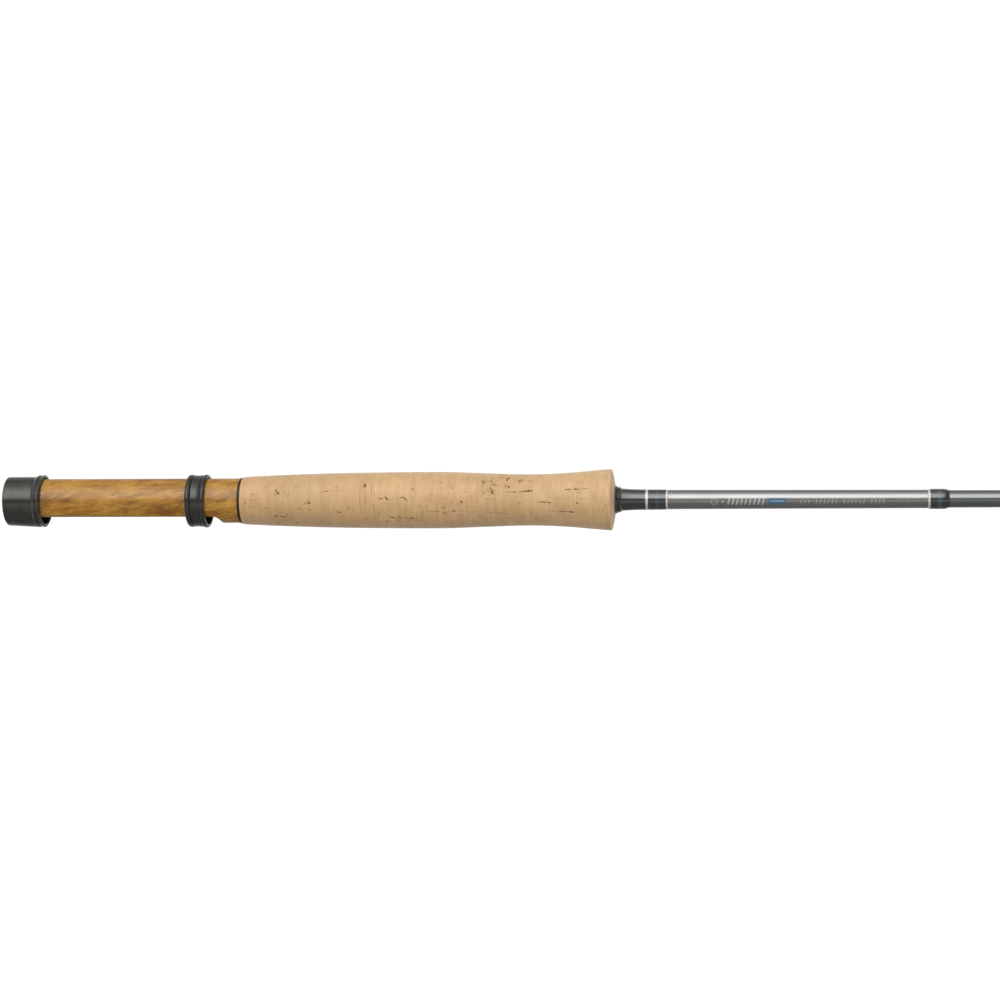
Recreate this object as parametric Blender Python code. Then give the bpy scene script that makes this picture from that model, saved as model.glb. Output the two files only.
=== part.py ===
"""Butt section of a four-piece fly rod: slide-ring reel seat, cork grip, wrapped blank, guide and ferrule.

The rod lies along +X, butt cap first. The origin is the centre of the cap's flat end, the reel side is -Z.
Lengths below are in millimetres and are turned into metres where the meshes are made.
"""

import math

import bmesh
import bpy
from mathutils import Matrix, Vector

MM = 0.001

# ---------------------------------------------------------------- driving dimensions (mm)
LIGHT_GAP = 0.1  # between glued or wound pieces
CLEAR_OF_BLANK = 0.06  # thread and lacquer over the blank

# Blank: a tapered tube that runs from inside the butt cap to the ferrule.
BLANK_REAR_X = 2.4
BLANK_TIP_X = 579.0
BLANK_R_AT_CAP = 4.22
BLANK_TAPER = 0.0022  # loss of radius for each millimetre of length
BLANK_WALL_REAR = 1.1
BLANK_WALL_TIP = 0.65

# Reel seat
WOOD_R = 8.93
WOOD_REAR_X = 2.1
WOOD_FRONT_X = 96.3
WOOD_BORE_R = 5.0
MORTISE_DEPTH_Z = -6.44  # the flat that the reel foot lies on
MORTISE_END_X = 85.45
MORTISE_RUNOUT_R = 3.6
MORTISE_RUNOUT_STEPS = 6
LANDING_X = (18.0, 72.0)  # the stretch of that flat that the reel foot bears on
LANDING_RELIEF = 0.04  # the flat falls away by this much from the landing to its ends
CUTTER_MARGIN = 5.0  # how far the cutter stands clear of the insert
ARBOR_LENGTH = 14.0
ARBOR_X = (12.0, 42.0, 76.0)

CAP_R = 9.86
CAP_LENGTH = 15.75
CAP_BORE_R = 9.2
CAP_END_WALL = 1.8
CAP_CHAMFER = 0.4
CAP_BODY_LENGTH = 11.3
CAP_WALL_LEAST = 0.1  # points this far outside the bore belong to the outer skin
CAP_HOOD = 0.065  # how much wider the reel side is at the rim than at the end
RIM_R = 10.55
RIM_GROOVE_R = 10.2
RIM_BEADS_X = ((11.9, 14.15), (14.6, CAP_LENGTH))

RING_X = (75.15, 83.05)
RING_BORE_R = 9.2
RING_WAIST_R = 10.2
RING_SHOULDER_R = 10.32  # the waist is a shallow cove between two shoulders
RING_BEAD_FOOT_R = 9.98
RING_BEADS = (2.05, 2.0)  # widths of the rear and front beads
RING_SHOULDER = 0.3  # from each bead to the cove
RING_HOOD = 0.03  # how much deeper the reel side is at the front rim than at the rear
BEAD_R = 10.55

SEAT_CHECK_X = (96.4, 97.2)
SEAT_CHECK_R = 9.22

# Cork grip: template stations along the rod, as (x, radius).
GRIP_STATIONS = (
    (97.3, 9.48),
    (112.0, 10.19),
    (136.0, 10.90),
    (166.0, 11.24),
    (181.0, 11.18),
    (197.0, 10.60),
    (213.0, 10.16),
    (227.0, 10.60),
    (239.0, 11.62),
    (244.7, 12.09),
)
# The cork comes in rings of several thicknesses, butt end first. They add up to the grip's length.
CORK_LENGTHS = (11.9, 12.5, 12.5, 17.3, 19.0, 11.4, 11.5, 10.9, 10.7, 16.6, 15.4)
GRIP_FACE = ((245.5, 11.55), (246.3, 9.0), (246.95, 5.6))  # the domed front, from rim to hub
GRIP_FRONT_X = GRIP_STATIONS[0][0] + sum(CORK_LENGTHS)

# Winding check: a stepped collar that closes the front of the grip.
CHECK_PROFILE = (
    (247.1, 5.6),
    (247.9, 5.35),
    (248.1, 4.9),
    (248.5, 5.2),
    (248.9, 4.85),
    (249.2, 5.0),
    (249.6, 4.6),
)

# Thread bands in front of the grip, rear to front: (name, end x, radius there).
GRIP_WRAP_START = (249.7, 4.36)
GRIP_WRAP_BANDS = (
    ("grip_wrap_rear", 259.0, 4.01),
    ("grip_trim_silver_rear", 259.95, 3.99),
    ("grip_wrap_middle", 263.0, 3.97),
    ("grip_trim_blue", 264.2, 3.96),
    ("grip_wrap_front", 267.0, 3.93),
    ("grip_trim_silver_front", 267.9, 3.88),
)
GRIP_WRAP_FILLET = (252.8, 4.15)  # where the first band's radius stops falling quickly

# Lacquered zone between the two wraps.
LACQUER_X = (268.0, 368.6)
LACQUER_BUILD = 0.14

# Thread bands at the front of the lacquered zone.
MID_WRAP_START = (368.7, 3.74)
MID_WRAP_BANDS = (
    ("mid_trim_silver", 369.65, 3.87),
    ("mid_wrap_rear", 372.4, 3.92),
    ("mid_trim_blue", 374.1, 3.91),
    ("mid_wrap_front", 377.2, 3.5),
)
MID_WRAP_SHOULDER = (375.7, 3.8)

# Stripping guide on the reel side.
GUIDE_X = 536.0
GUIDE_Z = -8.5
GUIDE_BEZEL_R = (4.62, 5.0)
GUIDE_BEZEL_LENGTH = 1.5
CERAMIC_TUBE_R = 0.62
CERAMIC_HOLE_R = 3.3
FOOT_TOP_Z = -3.15
FOOT_THICKNESS = 0.42
FOOT_WIDTHS = (2.2, 1.3)  # at the leg and at the toe
FOOT_ROOT = 8.0  # from the guide's centre
FOOT_LENGTH = 13.0
LEG_R = 0.4
LEG_BITE = 0.02  # how far a leg's end stands proud of the bezel's outside
LEG_ROOT = (0.6, 0.6)  # where a leg meets its foot: along it, and off its centre line
LEG_ANGLES = {"front": 72.0, "rear": 38.0}  # where the legs meet the bezel, from its top
FOOT_WRAP_START = 9.3  # from the guide's centre
FOOT_WRAP_LENGTH = 13.5
FOOT_WRAP_TRIM = 0.9
FOOT_WRAP_BORE_R = 3.52
FOOT_WRAP_R = 3.78
FOOT_WRAP_DROP = -0.35  # the thread bridges blank and foot, so it sits lower than the blank

# Spigot ferrule
SPIGOT_X = (539.0, 624.0)
SPIGOT_R = (2.1, 1.9)
SPIGOT_CHAMFER = 0.35
FERRULE_WRAP_X = (567.6, 578.8)
FERRULE_TRIM = 0.9
WRAP_BUILD = 0.32
WRAP_SHOULDER = 0.35  # length of the slope at each end of a wrap
WRAP_SHOULDER_RISE = 0.6  # share of the build that is left at the very end

SEGMENTS_FITTING = 48
SEGMENTS_GRIP = 32
SEGMENTS_BLANK = 24
SHARP_ANGLE = math.radians(32.0)
POLE_MERGE = 1e-4  # joins the copies of a point that lies on the axis


# ---------------------------------------------------------------- helpers
def surface(name, colour, roughness, metallic=0.0):
    """A Principled material."""
    material = bpy.data.materials.new(name)
    material.use_nodes = True
    shader = material.node_tree.nodes["Principled BSDF"]
    shader.inputs["Base Color"].default_value = (*colour, 1.0)
    shader.inputs["Roughness"].default_value = roughness
    shader.inputs["Metallic"].default_value = metallic
    return material


def add_object(name, bm, material, location, parent):
    """A named object from a bmesh whose points are in millimetres around its own origin."""
    bmesh.ops.scale(bm, vec=(MM, MM, MM), verts=bm.verts)
    mesh = bpy.data.meshes.new(name)
    bm.to_mesh(mesh)
    bm.free()
    mesh.shade_smooth()
    mesh.set_sharp_from_angle(angle=SHARP_ANGLE)
    mesh.materials.append(material)
    made = bpy.data.objects.new(name, mesh)
    made.location = Vector(location) * MM
    made.parent = parent
    bpy.context.scene.collection.objects.link(made)
    return made


def spun(outline, segments):
    """A bmesh of a closed (x, radius) outline spun about X, with a facet's middle straight below the axis."""
    bm = bmesh.new()
    start = Matrix.Rotation(math.pi / segments, 4, "X")
    points = [bm.verts.new(start @ Vector((x, 0.0, r))) for x, r in outline]
    edges = [
        bm.edges.new((points[i - 1], points[i]))
        for i in range(len(points))
        if outline[i - 1][1] > 0.0 or outline[i][1] > 0.0
    ]
    bmesh.ops.spin(
        bm,
        geom=points + edges,
        cent=(0, 0, 0),
        axis=(1, 0, 0),
        angle=2.0 * math.pi,
        steps=segments,
        use_merge=True,
    )
    bmesh.ops.remove_doubles(bm, verts=bm.verts, dist=POLE_MERGE)
    bmesh.ops.recalc_face_normals(bm, faces=bm.faces)
    return bm


def turned(name, outline, material, segments, parent):
    """A turned piece from an outline in rod coordinates. Its origin is on the axis at its rear end."""
    rear = min(x for x, _ in outline)
    local = [(x - rear, r) for x, r in outline]
    return add_object(name, spun(local, segments), material, (rear, 0, 0), parent)


def sleeve(name, x0, x1, outer, bore, material, segments, parent):
    """A straight tube."""
    outline = [(x0, outer), (x1, outer), (x1, bore), (x0, bore)]
    return turned(name, outline, material, segments, parent)


def bead(x0, x1, foot_r, crest_r, steps=4):
    """Points of a half-round bead that stands on foot_r between x0 and x1."""
    middle, half = (x0 + x1) / 2.0, (x1 - x0) / 2.0
    angles = [math.pi * i / steps for i in range(steps + 1)]
    return [(middle - half * math.cos(a), foot_r + (crest_r - foot_r) * math.sin(a)) for a in angles]


def blank_r(x):
    """Outer radius of the blank at x."""
    return BLANK_R_AT_CAP - BLANK_TAPER * x


def grip_r(x):
    """Radius of the grip at x: a smooth curve through its stations."""
    stations = GRIP_STATIONS
    last = len(stations) - 1
    slopes = [
        (stations[min(i + 1, last)][1] - stations[max(i - 1, 0)][1])
        / (stations[min(i + 1, last)][0] - stations[max(i - 1, 0)][0])
        for i in range(len(stations))
    ]
    i = max(k for k in range(last) if stations[k][0] <= x or k == 0)
    (x0, r0), (x1, r1) = stations[i], stations[i + 1]
    span = x1 - x0
    t = (x - x0) / span
    return (
        r0 * (1 + 2 * t) * (1 - t) ** 2
        + slopes[i] * span * t * (1 - t) ** 2
        + r1 * t**2 * (3 - 2 * t)
        + slopes[i + 1] * span * t**2 * (t - 1)
    )


def helper(made):
    """Marks an object as a tool for a Boolean."""
    made.hide_render = True
    made.display_type = "WIRE"
    return made


def boolean(target, tool, operation):
    modifier = target.modifiers.new(tool.name, "BOOLEAN")
    modifier.operation = operation
    modifier.solver = "EXACT"
    modifier.object = tool


# ---------------------------------------------------------------- scene and materials
for leftover in list(bpy.data.objects):
    bpy.data.objects.remove(leftover)

MATERIALS = {
    "anodised": surface("anodised_aluminium", (0.055, 0.055, 0.05), 0.34, 0.85),
    "wood": surface("seat_wood", (0.42, 0.22, 0.085), 0.35),
    "cork": surface("cork", (0.62, 0.42, 0.24), 0.75),
    "arbor": surface("arbor_foam", (0.75, 0.72, 0.65), 0.9),
    "thread": surface("wrap_thread", (0.03, 0.03, 0.03), 0.15),
    "silver": surface("silver_thread", (0.62, 0.64, 0.64), 0.2, 0.7),
    "blue": surface("blue_thread", (0.05, 0.2, 0.33), 0.15),
    "lacquer": surface("gunmetal_lacquer", (0.16, 0.16, 0.16), 0.2, 0.6),
    "graphite": surface("graphite_blank", (0.045, 0.055, 0.05), 0.25),
    "check": surface("check_rubber", (0.02, 0.02, 0.024), 0.35),
    "guide": surface("guide_steel", (0.35, 0.36, 0.37), 0.25, 1.0),
    "ceramic": surface("guide_ceramic", (0.02, 0.02, 0.022), 0.1),
}

ROD = bpy.data.objects.new("rod_axis", None)
bpy.context.scene.collection.objects.link(ROD)


# ---------------------------------------------------------------- blank and ferrule
def make_blank():
    turned(
        "blank",
        [
            (BLANK_REAR_X, blank_r(BLANK_REAR_X)),
            (BLANK_TIP_X, blank_r(BLANK_TIP_X)),
            (BLANK_TIP_X, blank_r(BLANK_TIP_X) - BLANK_WALL_TIP),
            (BLANK_REAR_X, blank_r(BLANK_REAR_X) - BLANK_WALL_REAR),
        ],
        MATERIALS["graphite"],
        SEGMENTS_BLANK,
        ROD,
    )


def make_spigot():
    """The tapered plug that the next section slides over. Its rear half is glued inside the blank's tip."""
    x0, x1 = SPIGOT_X
    r0, r1 = SPIGOT_R
    turned(
        "ferrule_spigot",
        [(x0, 0.0), (x0, r0), (x1 - SPIGOT_CHAMFER, r1), (x1, r1 - SPIGOT_CHAMFER), (x1, 0.0)],
        MATERIALS["graphite"],
        SEGMENTS_BLANK,
        ROD,
    )


def band_over_blank(name, x0, x1, build, material):
    """A thread band that follows the blank's taper, with slightly rounded shoulders."""
    shoulder = min(WRAP_SHOULDER, (x1 - x0) / 4.0)
    end_build = build * WRAP_SHOULDER_RISE
    turned(
        name,
        [
            (x0, blank_r(x0) + end_build),
            (x0 + shoulder, blank_r(x0) + build),
            (x1 - shoulder, blank_r(x1) + build),
            (x1, blank_r(x1) + end_build),
            (x1, blank_r(x1) + CLEAR_OF_BLANK),
            (x0, blank_r(x0) + CLEAR_OF_BLANK),
        ],
        material,
        SEGMENTS_BLANK,
        ROD,
    )


def make_ferrule_wrap():
    x0, x1 = FERRULE_WRAP_X
    band_over_blank("ferrule_trim_silver", x0, x0 + FERRULE_TRIM, WRAP_BUILD, MATERIALS["silver"])
    band_over_blank("ferrule_wrap", x0 + FERRULE_TRIM + LIGHT_GAP, x1, WRAP_BUILD, MATERIALS["thread"])


# ---------------------------------------------------------------- reel seat
def make_butt_cap():
    """A cup with a beaded rim. Its reel side widens into a hood for the end of the reel foot."""
    outer = [
        (0.0, 0.0),
        (0.0, CAP_R - CAP_CHAMFER),
        (CAP_CHAMFER, CAP_R),
        (CAP_BODY_LENGTH, CAP_R),
        *(point for ends in RIM_BEADS_X for point in bead(*ends, RIM_GROOVE_R, RIM_R)),
    ]
    inner = [(CAP_LENGTH, CAP_BORE_R), (CAP_END_WALL, CAP_BORE_R), (CAP_END_WALL, 0.0)]
    bm = spun(outer + inner, SEGMENTS_FITTING)
    for vert in bm.verts:
        outside = vert.co.yz.length > CAP_BORE_R + CAP_WALL_LEAST
        if outside and vert.co.z < 0.0 and vert.co.x < RIM_BEADS_X[0][0] - LIGHT_GAP:
            vert.co.z *= 1.0 + CAP_HOOD * vert.co.x / CAP_BODY_LENGTH
    add_object("butt_cap", bm, MATERIALS["anodised"], (0, 0, 0), ROD)


def mortise_tool():
    """The cutter of the reel foot's flat: a landing, eased ends, then a concave run-out at the front."""
    x_far, z_far, half_width = WOOD_REAR_X - CUTTER_MARGIN, -WOOD_R - CUTTER_MARGIN, WOOD_R + CUTTER_MARGIN
    relieved_z = MORTISE_DEPTH_Z + LANDING_RELIEF
    centre = (MORTISE_END_X, relieved_z - MORTISE_RUNOUT_R)
    turns = [math.pi / 2 * i / MORTISE_RUNOUT_STEPS for i in range(MORTISE_RUNOUT_STEPS + 1)]
    section = [
        (x_far, z_far),
        (x_far, relieved_z),
        *((x, MORTISE_DEPTH_Z) for x in LANDING_X),
        *(
            (centre[0] + MORTISE_RUNOUT_R * math.sin(turn), centre[1] + MORTISE_RUNOUT_R * math.cos(turn))
            for turn in turns
        ),
        (centre[0] + MORTISE_RUNOUT_R, z_far),
    ]
    bm = bmesh.new()
    side = bm.faces.new([bm.verts.new((x, -half_width, z)) for x, z in section])
    grown = bmesh.ops.extrude_face_region(bm, geom=[side])
    moved = [part for part in grown["geom"] if isinstance(part, bmesh.types.BMVert)]
    bmesh.ops.translate(bm, vec=(0, 2 * half_width, 0), verts=moved)
    bmesh.ops.recalc_face_normals(bm, faces=bm.faces)
    return helper(add_object("mortise_tool", bm, MATERIALS["wood"], (0, 0, 0), ROD))


def make_seat_insert():
    """The bored wooden insert, with the flat for the reel foot along its underside."""
    insert = turned(
        "seat_insert",
        [
            (WOOD_REAR_X, WOOD_R),
            (WOOD_FRONT_X, WOOD_R),
            (WOOD_FRONT_X, WOOD_BORE_R),
            (WOOD_REAR_X, WOOD_BORE_R),
        ],
        MATERIALS["wood"],
        SEGMENTS_FITTING,
        ROD,
    )
    boolean(insert, mortise_tool(), "DIFFERENCE")


def make_seat_arbors():
    """Bushes that centre the blank inside the insert."""
    for number, x in enumerate(ARBOR_X, start=1):
        bore = blank_r(x) + LIGHT_GAP
        outer = WOOD_BORE_R - LIGHT_GAP
        name = f"seat_arbor_{number}"
        sleeve(name, x, x + ARBOR_LENGTH, outer, bore, MATERIALS["arbor"], SEGMENTS_BLANK, ROD)


def make_slide_ring():
    """The ring that is pushed over the front of the reel foot. It slides along the insert.

    Its reel side deepens a little towards the front, to ride up the reel foot.
    """
    length = RING_X[1] - RING_X[0]
    rear, front = RING_BEADS[0], length - RING_BEADS[1]
    outline = [
        *bead(0.0, rear, RING_BEAD_FOOT_R, BEAD_R),
        (rear + RING_SHOULDER, RING_SHOULDER_R),
        ((rear + front) / 2.0, RING_WAIST_R),
        (front - RING_SHOULDER, RING_SHOULDER_R),
        *bead(front, length, RING_BEAD_FOOT_R, BEAD_R),
        (length, RING_BORE_R),
        (0.0, RING_BORE_R),
    ]
    bm = spun(outline, SEGMENTS_FITTING)
    for vert in bm.verts:
        if vert.co.z < 0.0:
            vert.co.z *= 1.0 + RING_HOOD * vert.co.x / length
    add_object("slide_ring", bm, MATERIALS["anodised"], (RING_X[0], 0, 0), ROD)


def make_seat_check():
    """The thin washer between the insert and the cork."""
    x0, x1 = SEAT_CHECK_X
    bore = blank_r(x0) + LIGHT_GAP
    sleeve("seat_check", x0, x1, SEAT_CHECK_R, bore, MATERIALS["check"], SEGMENTS_GRIP, ROD)


# ---------------------------------------------------------------- grip
def make_cork_rings():
    """The grip is a stack of bored cork rings, glued face to face and turned as one."""
    x0 = GRIP_STATIONS[0][0]
    rim_x = GRIP_STATIONS[-1][0]
    for number, length in enumerate(CORK_LENGTHS, start=1):
        x1 = x0 + length - LIGHT_GAP
        bore = blank_r(x0) + LIGHT_GAP
        if number == len(CORK_LENGTHS):
            outside = [(x, grip_r(x)) for x in (x0, (x0 + rim_x) / 2.0, rim_x)]
            outside += [*GRIP_FACE, (GRIP_FRONT_X, bore)]
        else:
            outside = [(x, grip_r(x)) for x in (x0, (x0 + x1) / 2.0, x1)]
            outside += [(x1, bore)]
        turned(f"cork_ring_{number:02d}", [*outside, (x0, bore)], MATERIALS["cork"], SEGMENTS_GRIP, ROD)
        x0 += length


def make_winding_check():
    bore = blank_r(CHECK_PROFILE[0][0]) + CLEAR_OF_BLANK
    turned(
        "winding_check",
        [*CHECK_PROFILE, (CHECK_PROFILE[-1][0], bore), (CHECK_PROFILE[0][0], bore)],
        MATERIALS["check"],
        SEGMENTS_BLANK,
        ROD,
    )


# ---------------------------------------------------------------- thread bands and lacquer
def thread_material(name):
    return MATERIALS["silver" if "silver" in name else "blue" if "blue" in name else "thread"]


def make_bands(start, bands, bend):
    """Neighbouring thread bands on the blank. bend is one more point of the outline, inside one of them."""
    x0, r0 = start
    for name, x1, r1 in bands:
        end = x1 - LIGHT_GAP
        outline = [
            (x0, r0),
            *([bend] if x0 < bend[0] < end else []),
            (end, r1),
            (end, blank_r(end) + CLEAR_OF_BLANK),
            (x0, blank_r(x0) + CLEAR_OF_BLANK),
        ]
        turned(name, outline, thread_material(name), SEGMENTS_BLANK, ROD)
        x0, r0 = x1, r1


def make_lacquer():
    x0, x1 = LACQUER_X
    turned(
        "lacquered_sleeve",
        [
            (x0, blank_r(x0) + LACQUER_BUILD),
            (x1, blank_r(x1) + LACQUER_BUILD),
            (x1, blank_r(x1) + CLEAR_OF_BLANK),
            (x0, blank_r(x0) + CLEAR_OF_BLANK),
        ],
        MATERIALS["lacquer"],
        SEGMENTS_BLANK,
        ROD,
    )


# ---------------------------------------------------------------- stripping guide
def rod_between(name, start, end, radius, sides=8):
    """A hidden round bar between two points, for unions."""
    a, b = Vector(start), Vector(end)
    bm = bmesh.new()
    bmesh.ops.create_cone(
        bm, cap_ends=True, segments=sides, radius1=radius, radius2=radius, depth=(b - a).length
    )
    turn = (b - a).to_track_quat("Z", "Y").to_matrix().to_4x4()
    bmesh.ops.transform(bm, matrix=Matrix.Translation((a + b) / 2.0) @ turn, verts=bm.verts)
    return helper(add_object(name, bm, MATERIALS["guide"], (GUIDE_X, 0, 0), ROD))


def foot_bar(name, direction):
    """A hidden tapered foot that lies along the blank, towards direction (+1 front, -1 rear)."""
    x0, x1 = direction * FOOT_ROOT, direction * (FOOT_ROOT + FOOT_LENGTH)
    wide, narrow = (width / 2.0 for width in FOOT_WIDTHS)
    bm = bmesh.new()
    corners = [(x0, -wide), (x1, -narrow), (x1, narrow), (x0, wide)]
    under = bm.faces.new([bm.verts.new((x, y, FOOT_TOP_Z - FOOT_THICKNESS)) for x, y in corners])
    grown = bmesh.ops.extrude_face_region(bm, geom=[under])
    moved = [part for part in grown["geom"] if isinstance(part, bmesh.types.BMVert)]
    bmesh.ops.translate(bm, vec=(0, 0, FOOT_THICKNESS), verts=moved)
    bmesh.ops.recalc_face_normals(bm, faces=bm.faces)
    return helper(add_object(name, bm, MATERIALS["guide"], (GUIDE_X, 0, 0), ROD))


def make_guide_frame():
    """A round bezel on four legs and two feet, all one piece of steel."""
    inner, outer = GUIDE_BEZEL_R
    half = GUIDE_BEZEL_LENGTH / 2.0
    bm = spun([(-half, outer), (half, outer), (half, inner), (-half, inner)], SEGMENTS_BLANK)
    bmesh.ops.translate(bm, vec=(0, 0, GUIDE_Z), verts=bm.verts)
    frame = add_object("guide_frame", bm, MATERIALS["guide"], (GUIDE_X, 0, 0), ROD)
    foot_z = FOOT_TOP_Z - FOOT_THICKNESS
    reach = outer + LEG_BITE
    for end, direction in (("front", 1.0), ("rear", -1.0)):
        boolean(frame, foot_bar(f"guide_foot_tool_{end}", direction), "UNION")
        angle = math.radians(LEG_ANGLES[end])
        for side in (-1.0, 1.0):
            root = (direction * (FOOT_ROOT + LEG_ROOT[0]), side * LEG_ROOT[1], foot_z)
            top = (0.0, side * reach * math.sin(angle), GUIDE_Z + reach * math.cos(angle))
            leg = rod_between(f"guide_leg_tool_{end}_{int(side)}", root, top, LEG_R)
            boolean(frame, leg, "UNION")


def make_guide_ring():
    """The ceramic ring that the line runs through, held in the bezel."""
    steps = 8
    middle = CERAMIC_HOLE_R + CERAMIC_TUBE_R
    section = [
        (
            CERAMIC_TUBE_R * math.cos(2 * math.pi * i / steps),
            middle + CERAMIC_TUBE_R * math.sin(2 * math.pi * i / steps),
        )
        for i in range(steps)
    ]
    add_object(
        "guide_ring", spun(section, SEGMENTS_BLANK), MATERIALS["ceramic"], (GUIDE_X, 0, GUIDE_Z), ROD
    )


def make_foot_wraps():
    """Thread over each foot, with a silver trim at its inner end."""
    for end, direction in (("front", 1.0), ("rear", -1.0)):
        near = direction * FOOT_WRAP_START
        trim_end = near + direction * FOOT_WRAP_TRIM
        wrap_near = trim_end + direction * LIGHT_GAP
        far = near + direction * FOOT_WRAP_LENGTH
        for name, a, b, material in (
            (f"guide_trim_{end}", near, trim_end, "silver"),
            (f"guide_wrap_{end}", wrap_near, far, "thread"),
        ):
            low, high = sorted((a, b))
            outline = [
                (0.0, FOOT_WRAP_R),
                (high - low, FOOT_WRAP_R),
                (high - low, FOOT_WRAP_BORE_R),
                (0.0, FOOT_WRAP_BORE_R),
            ]
            place = (GUIDE_X + low, 0, FOOT_WRAP_DROP)
            add_object(name, spun(outline, SEGMENTS_BLANK), MATERIALS[material], place, ROD)


make_blank()
make_spigot()
make_ferrule_wrap()
make_butt_cap()
make_seat_insert()
make_seat_arbors()
make_slide_ring()
make_seat_check()
make_cork_rings()
make_winding_check()
make_bands(GRIP_WRAP_START, GRIP_WRAP_BANDS, GRIP_WRAP_FILLET)
make_lacquer()
make_bands(MID_WRAP_START, MID_WRAP_BANDS, MID_WRAP_SHOULDER)
make_guide_frame()
make_guide_ring()
make_foot_wraps()
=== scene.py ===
"""Looks of the fly rod's butt section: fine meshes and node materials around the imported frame.

Lengths are in millimetres along the rod's axis, +X from butt to tip. They become metres where meshes are
made.
An angle round the rod is counted from straight up (+Z) towards the back (+Y).
"""

import math

import bmesh
import bpy
import numpy as np
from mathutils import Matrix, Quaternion, Vector


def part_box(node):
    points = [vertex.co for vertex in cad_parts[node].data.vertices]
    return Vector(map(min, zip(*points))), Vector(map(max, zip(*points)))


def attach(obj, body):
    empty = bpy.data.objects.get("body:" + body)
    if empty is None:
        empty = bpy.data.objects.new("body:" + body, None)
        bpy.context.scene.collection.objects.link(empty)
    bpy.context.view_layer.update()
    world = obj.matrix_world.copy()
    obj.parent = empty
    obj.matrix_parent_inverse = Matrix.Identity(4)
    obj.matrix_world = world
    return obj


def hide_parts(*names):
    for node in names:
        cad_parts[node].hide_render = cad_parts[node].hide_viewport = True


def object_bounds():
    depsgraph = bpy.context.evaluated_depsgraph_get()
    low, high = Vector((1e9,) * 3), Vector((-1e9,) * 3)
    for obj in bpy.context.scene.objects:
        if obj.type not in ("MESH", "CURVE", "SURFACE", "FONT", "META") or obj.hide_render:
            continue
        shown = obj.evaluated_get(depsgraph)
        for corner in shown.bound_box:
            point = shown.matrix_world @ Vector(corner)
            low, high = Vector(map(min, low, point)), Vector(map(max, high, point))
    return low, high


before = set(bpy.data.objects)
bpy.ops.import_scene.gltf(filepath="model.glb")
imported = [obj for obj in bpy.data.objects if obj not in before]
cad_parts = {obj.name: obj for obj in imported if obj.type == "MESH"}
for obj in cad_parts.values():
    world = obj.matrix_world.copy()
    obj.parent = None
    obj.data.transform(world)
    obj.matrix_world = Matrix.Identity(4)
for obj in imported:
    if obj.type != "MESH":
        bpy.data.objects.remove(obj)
cad_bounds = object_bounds()

MM = 0.001
ROD, RING = "rod", "ring"

# Camera: in front of the rod (-Y), level with its axis, turned a little towards the butt.
CAMERA_AT = (0.3270, -1.0280, 0.0)
CAMERA_AIM = (0.2010, 0.0, 0.0)
CAMERA_LENS = 93.91
CAMERA_SENSOR = 36.0
CAMERA_ROLL = math.radians(-0.145)

FINE = 144  # segments round a fitting
THREAD_SEGMENTS = 72
CORK_GRID = 0.24  # spacing of the cork's vertices
SHARP = math.radians(38.0)

# Reel seat
CAP_CHAMFER = 0.4
CAP_BODY_LENGTH = 11.9
CAP_END_WALL = 1.8
CAP_BORE_R = 9.2
CAP_R = 9.86
CAP_HOOD = 0.065  # how much wider the reel side is at the rim than at the end
RIM_R = 10.55
RIM_CRESTS_X = (13.3, 15.1)
RIM_GROOVE_X = (14.1, 14.4)
RIM_GROOVE_R = 10.27
RING_BEADS = (2.05, 2.0)
RING_WAIST_R = 10.2
RING_SHOULDER_R = 10.32
RING_HOOD = 0.03  # how much deeper the reel side is at the front rim than at the rear
MORTISE_Z = -6.44
MORTISE_END_X = 85.45
MORTISE_RUNOUT_R = 3.6
MORTISE_EDGE = 0.85  # how far the rounding of its long edges reaches
WOOD_BORE_R = 5.0

# Grip
BARREL_END_X = 244.7
RIM_SWELL = 0.06  # added to the barrel's radius where it turns into the front face
GRIP_RIM_X = 245.25
# The front face: x, and the share of the way from the rim's radius down to the hub's.
GRIP_FACE = ((GRIP_RIM_X, 0.0), (245.45, 0.025), (245.95, 0.22), (246.4, 0.48), (246.75, 0.76), (247.0, 1.0))
CORK_GAP = 0.1  # between the CAD's rings
GLUE_LINE = 0.012  # what is left of that gap here
CORK_EASE = 0.05  # how far each ring's edges are eased
BUTT_ROUNDING = 0.35  # the first ring's rear edge

# Printed marks
DECAL_UP = -0.85  # the row's centre, measured round the surface from the level front
DECAL_HEIGHT = 2.7
EMBLEM_X, EMBLEM_R, EMBLEM_SIDES = 285.9, 1.25, 20
DOT_X = (288.9, 289.6)
SLANTS_X, SLANTS_STEP, SLANTS = 291.6, 1.68, 9
BAR_X = (307.2, 314.0)
TICKS_X, TICKS_STEP, TICKS = 319.6, 1.52, 22

# Thread, lacquer, blank and guide feet
THREAD_PITCH = 0.19
THREAD_RELIEF = 0.005  # height of each turn's ridge
FINISH = 0.05  # clear finish over the CAD outline of thread and blank
LACQUER_BUILD = 0.21
BLANK_WALLS = (1.1, 0.65)  # at the butt and at the ferrule
SPIGOT_R = (2.1, 1.9)
FOOT_THREAD = 0.30  # thread over the blank beside a guide foot
FOOT_BUILD = 0.52  # what the foot adds under it

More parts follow.
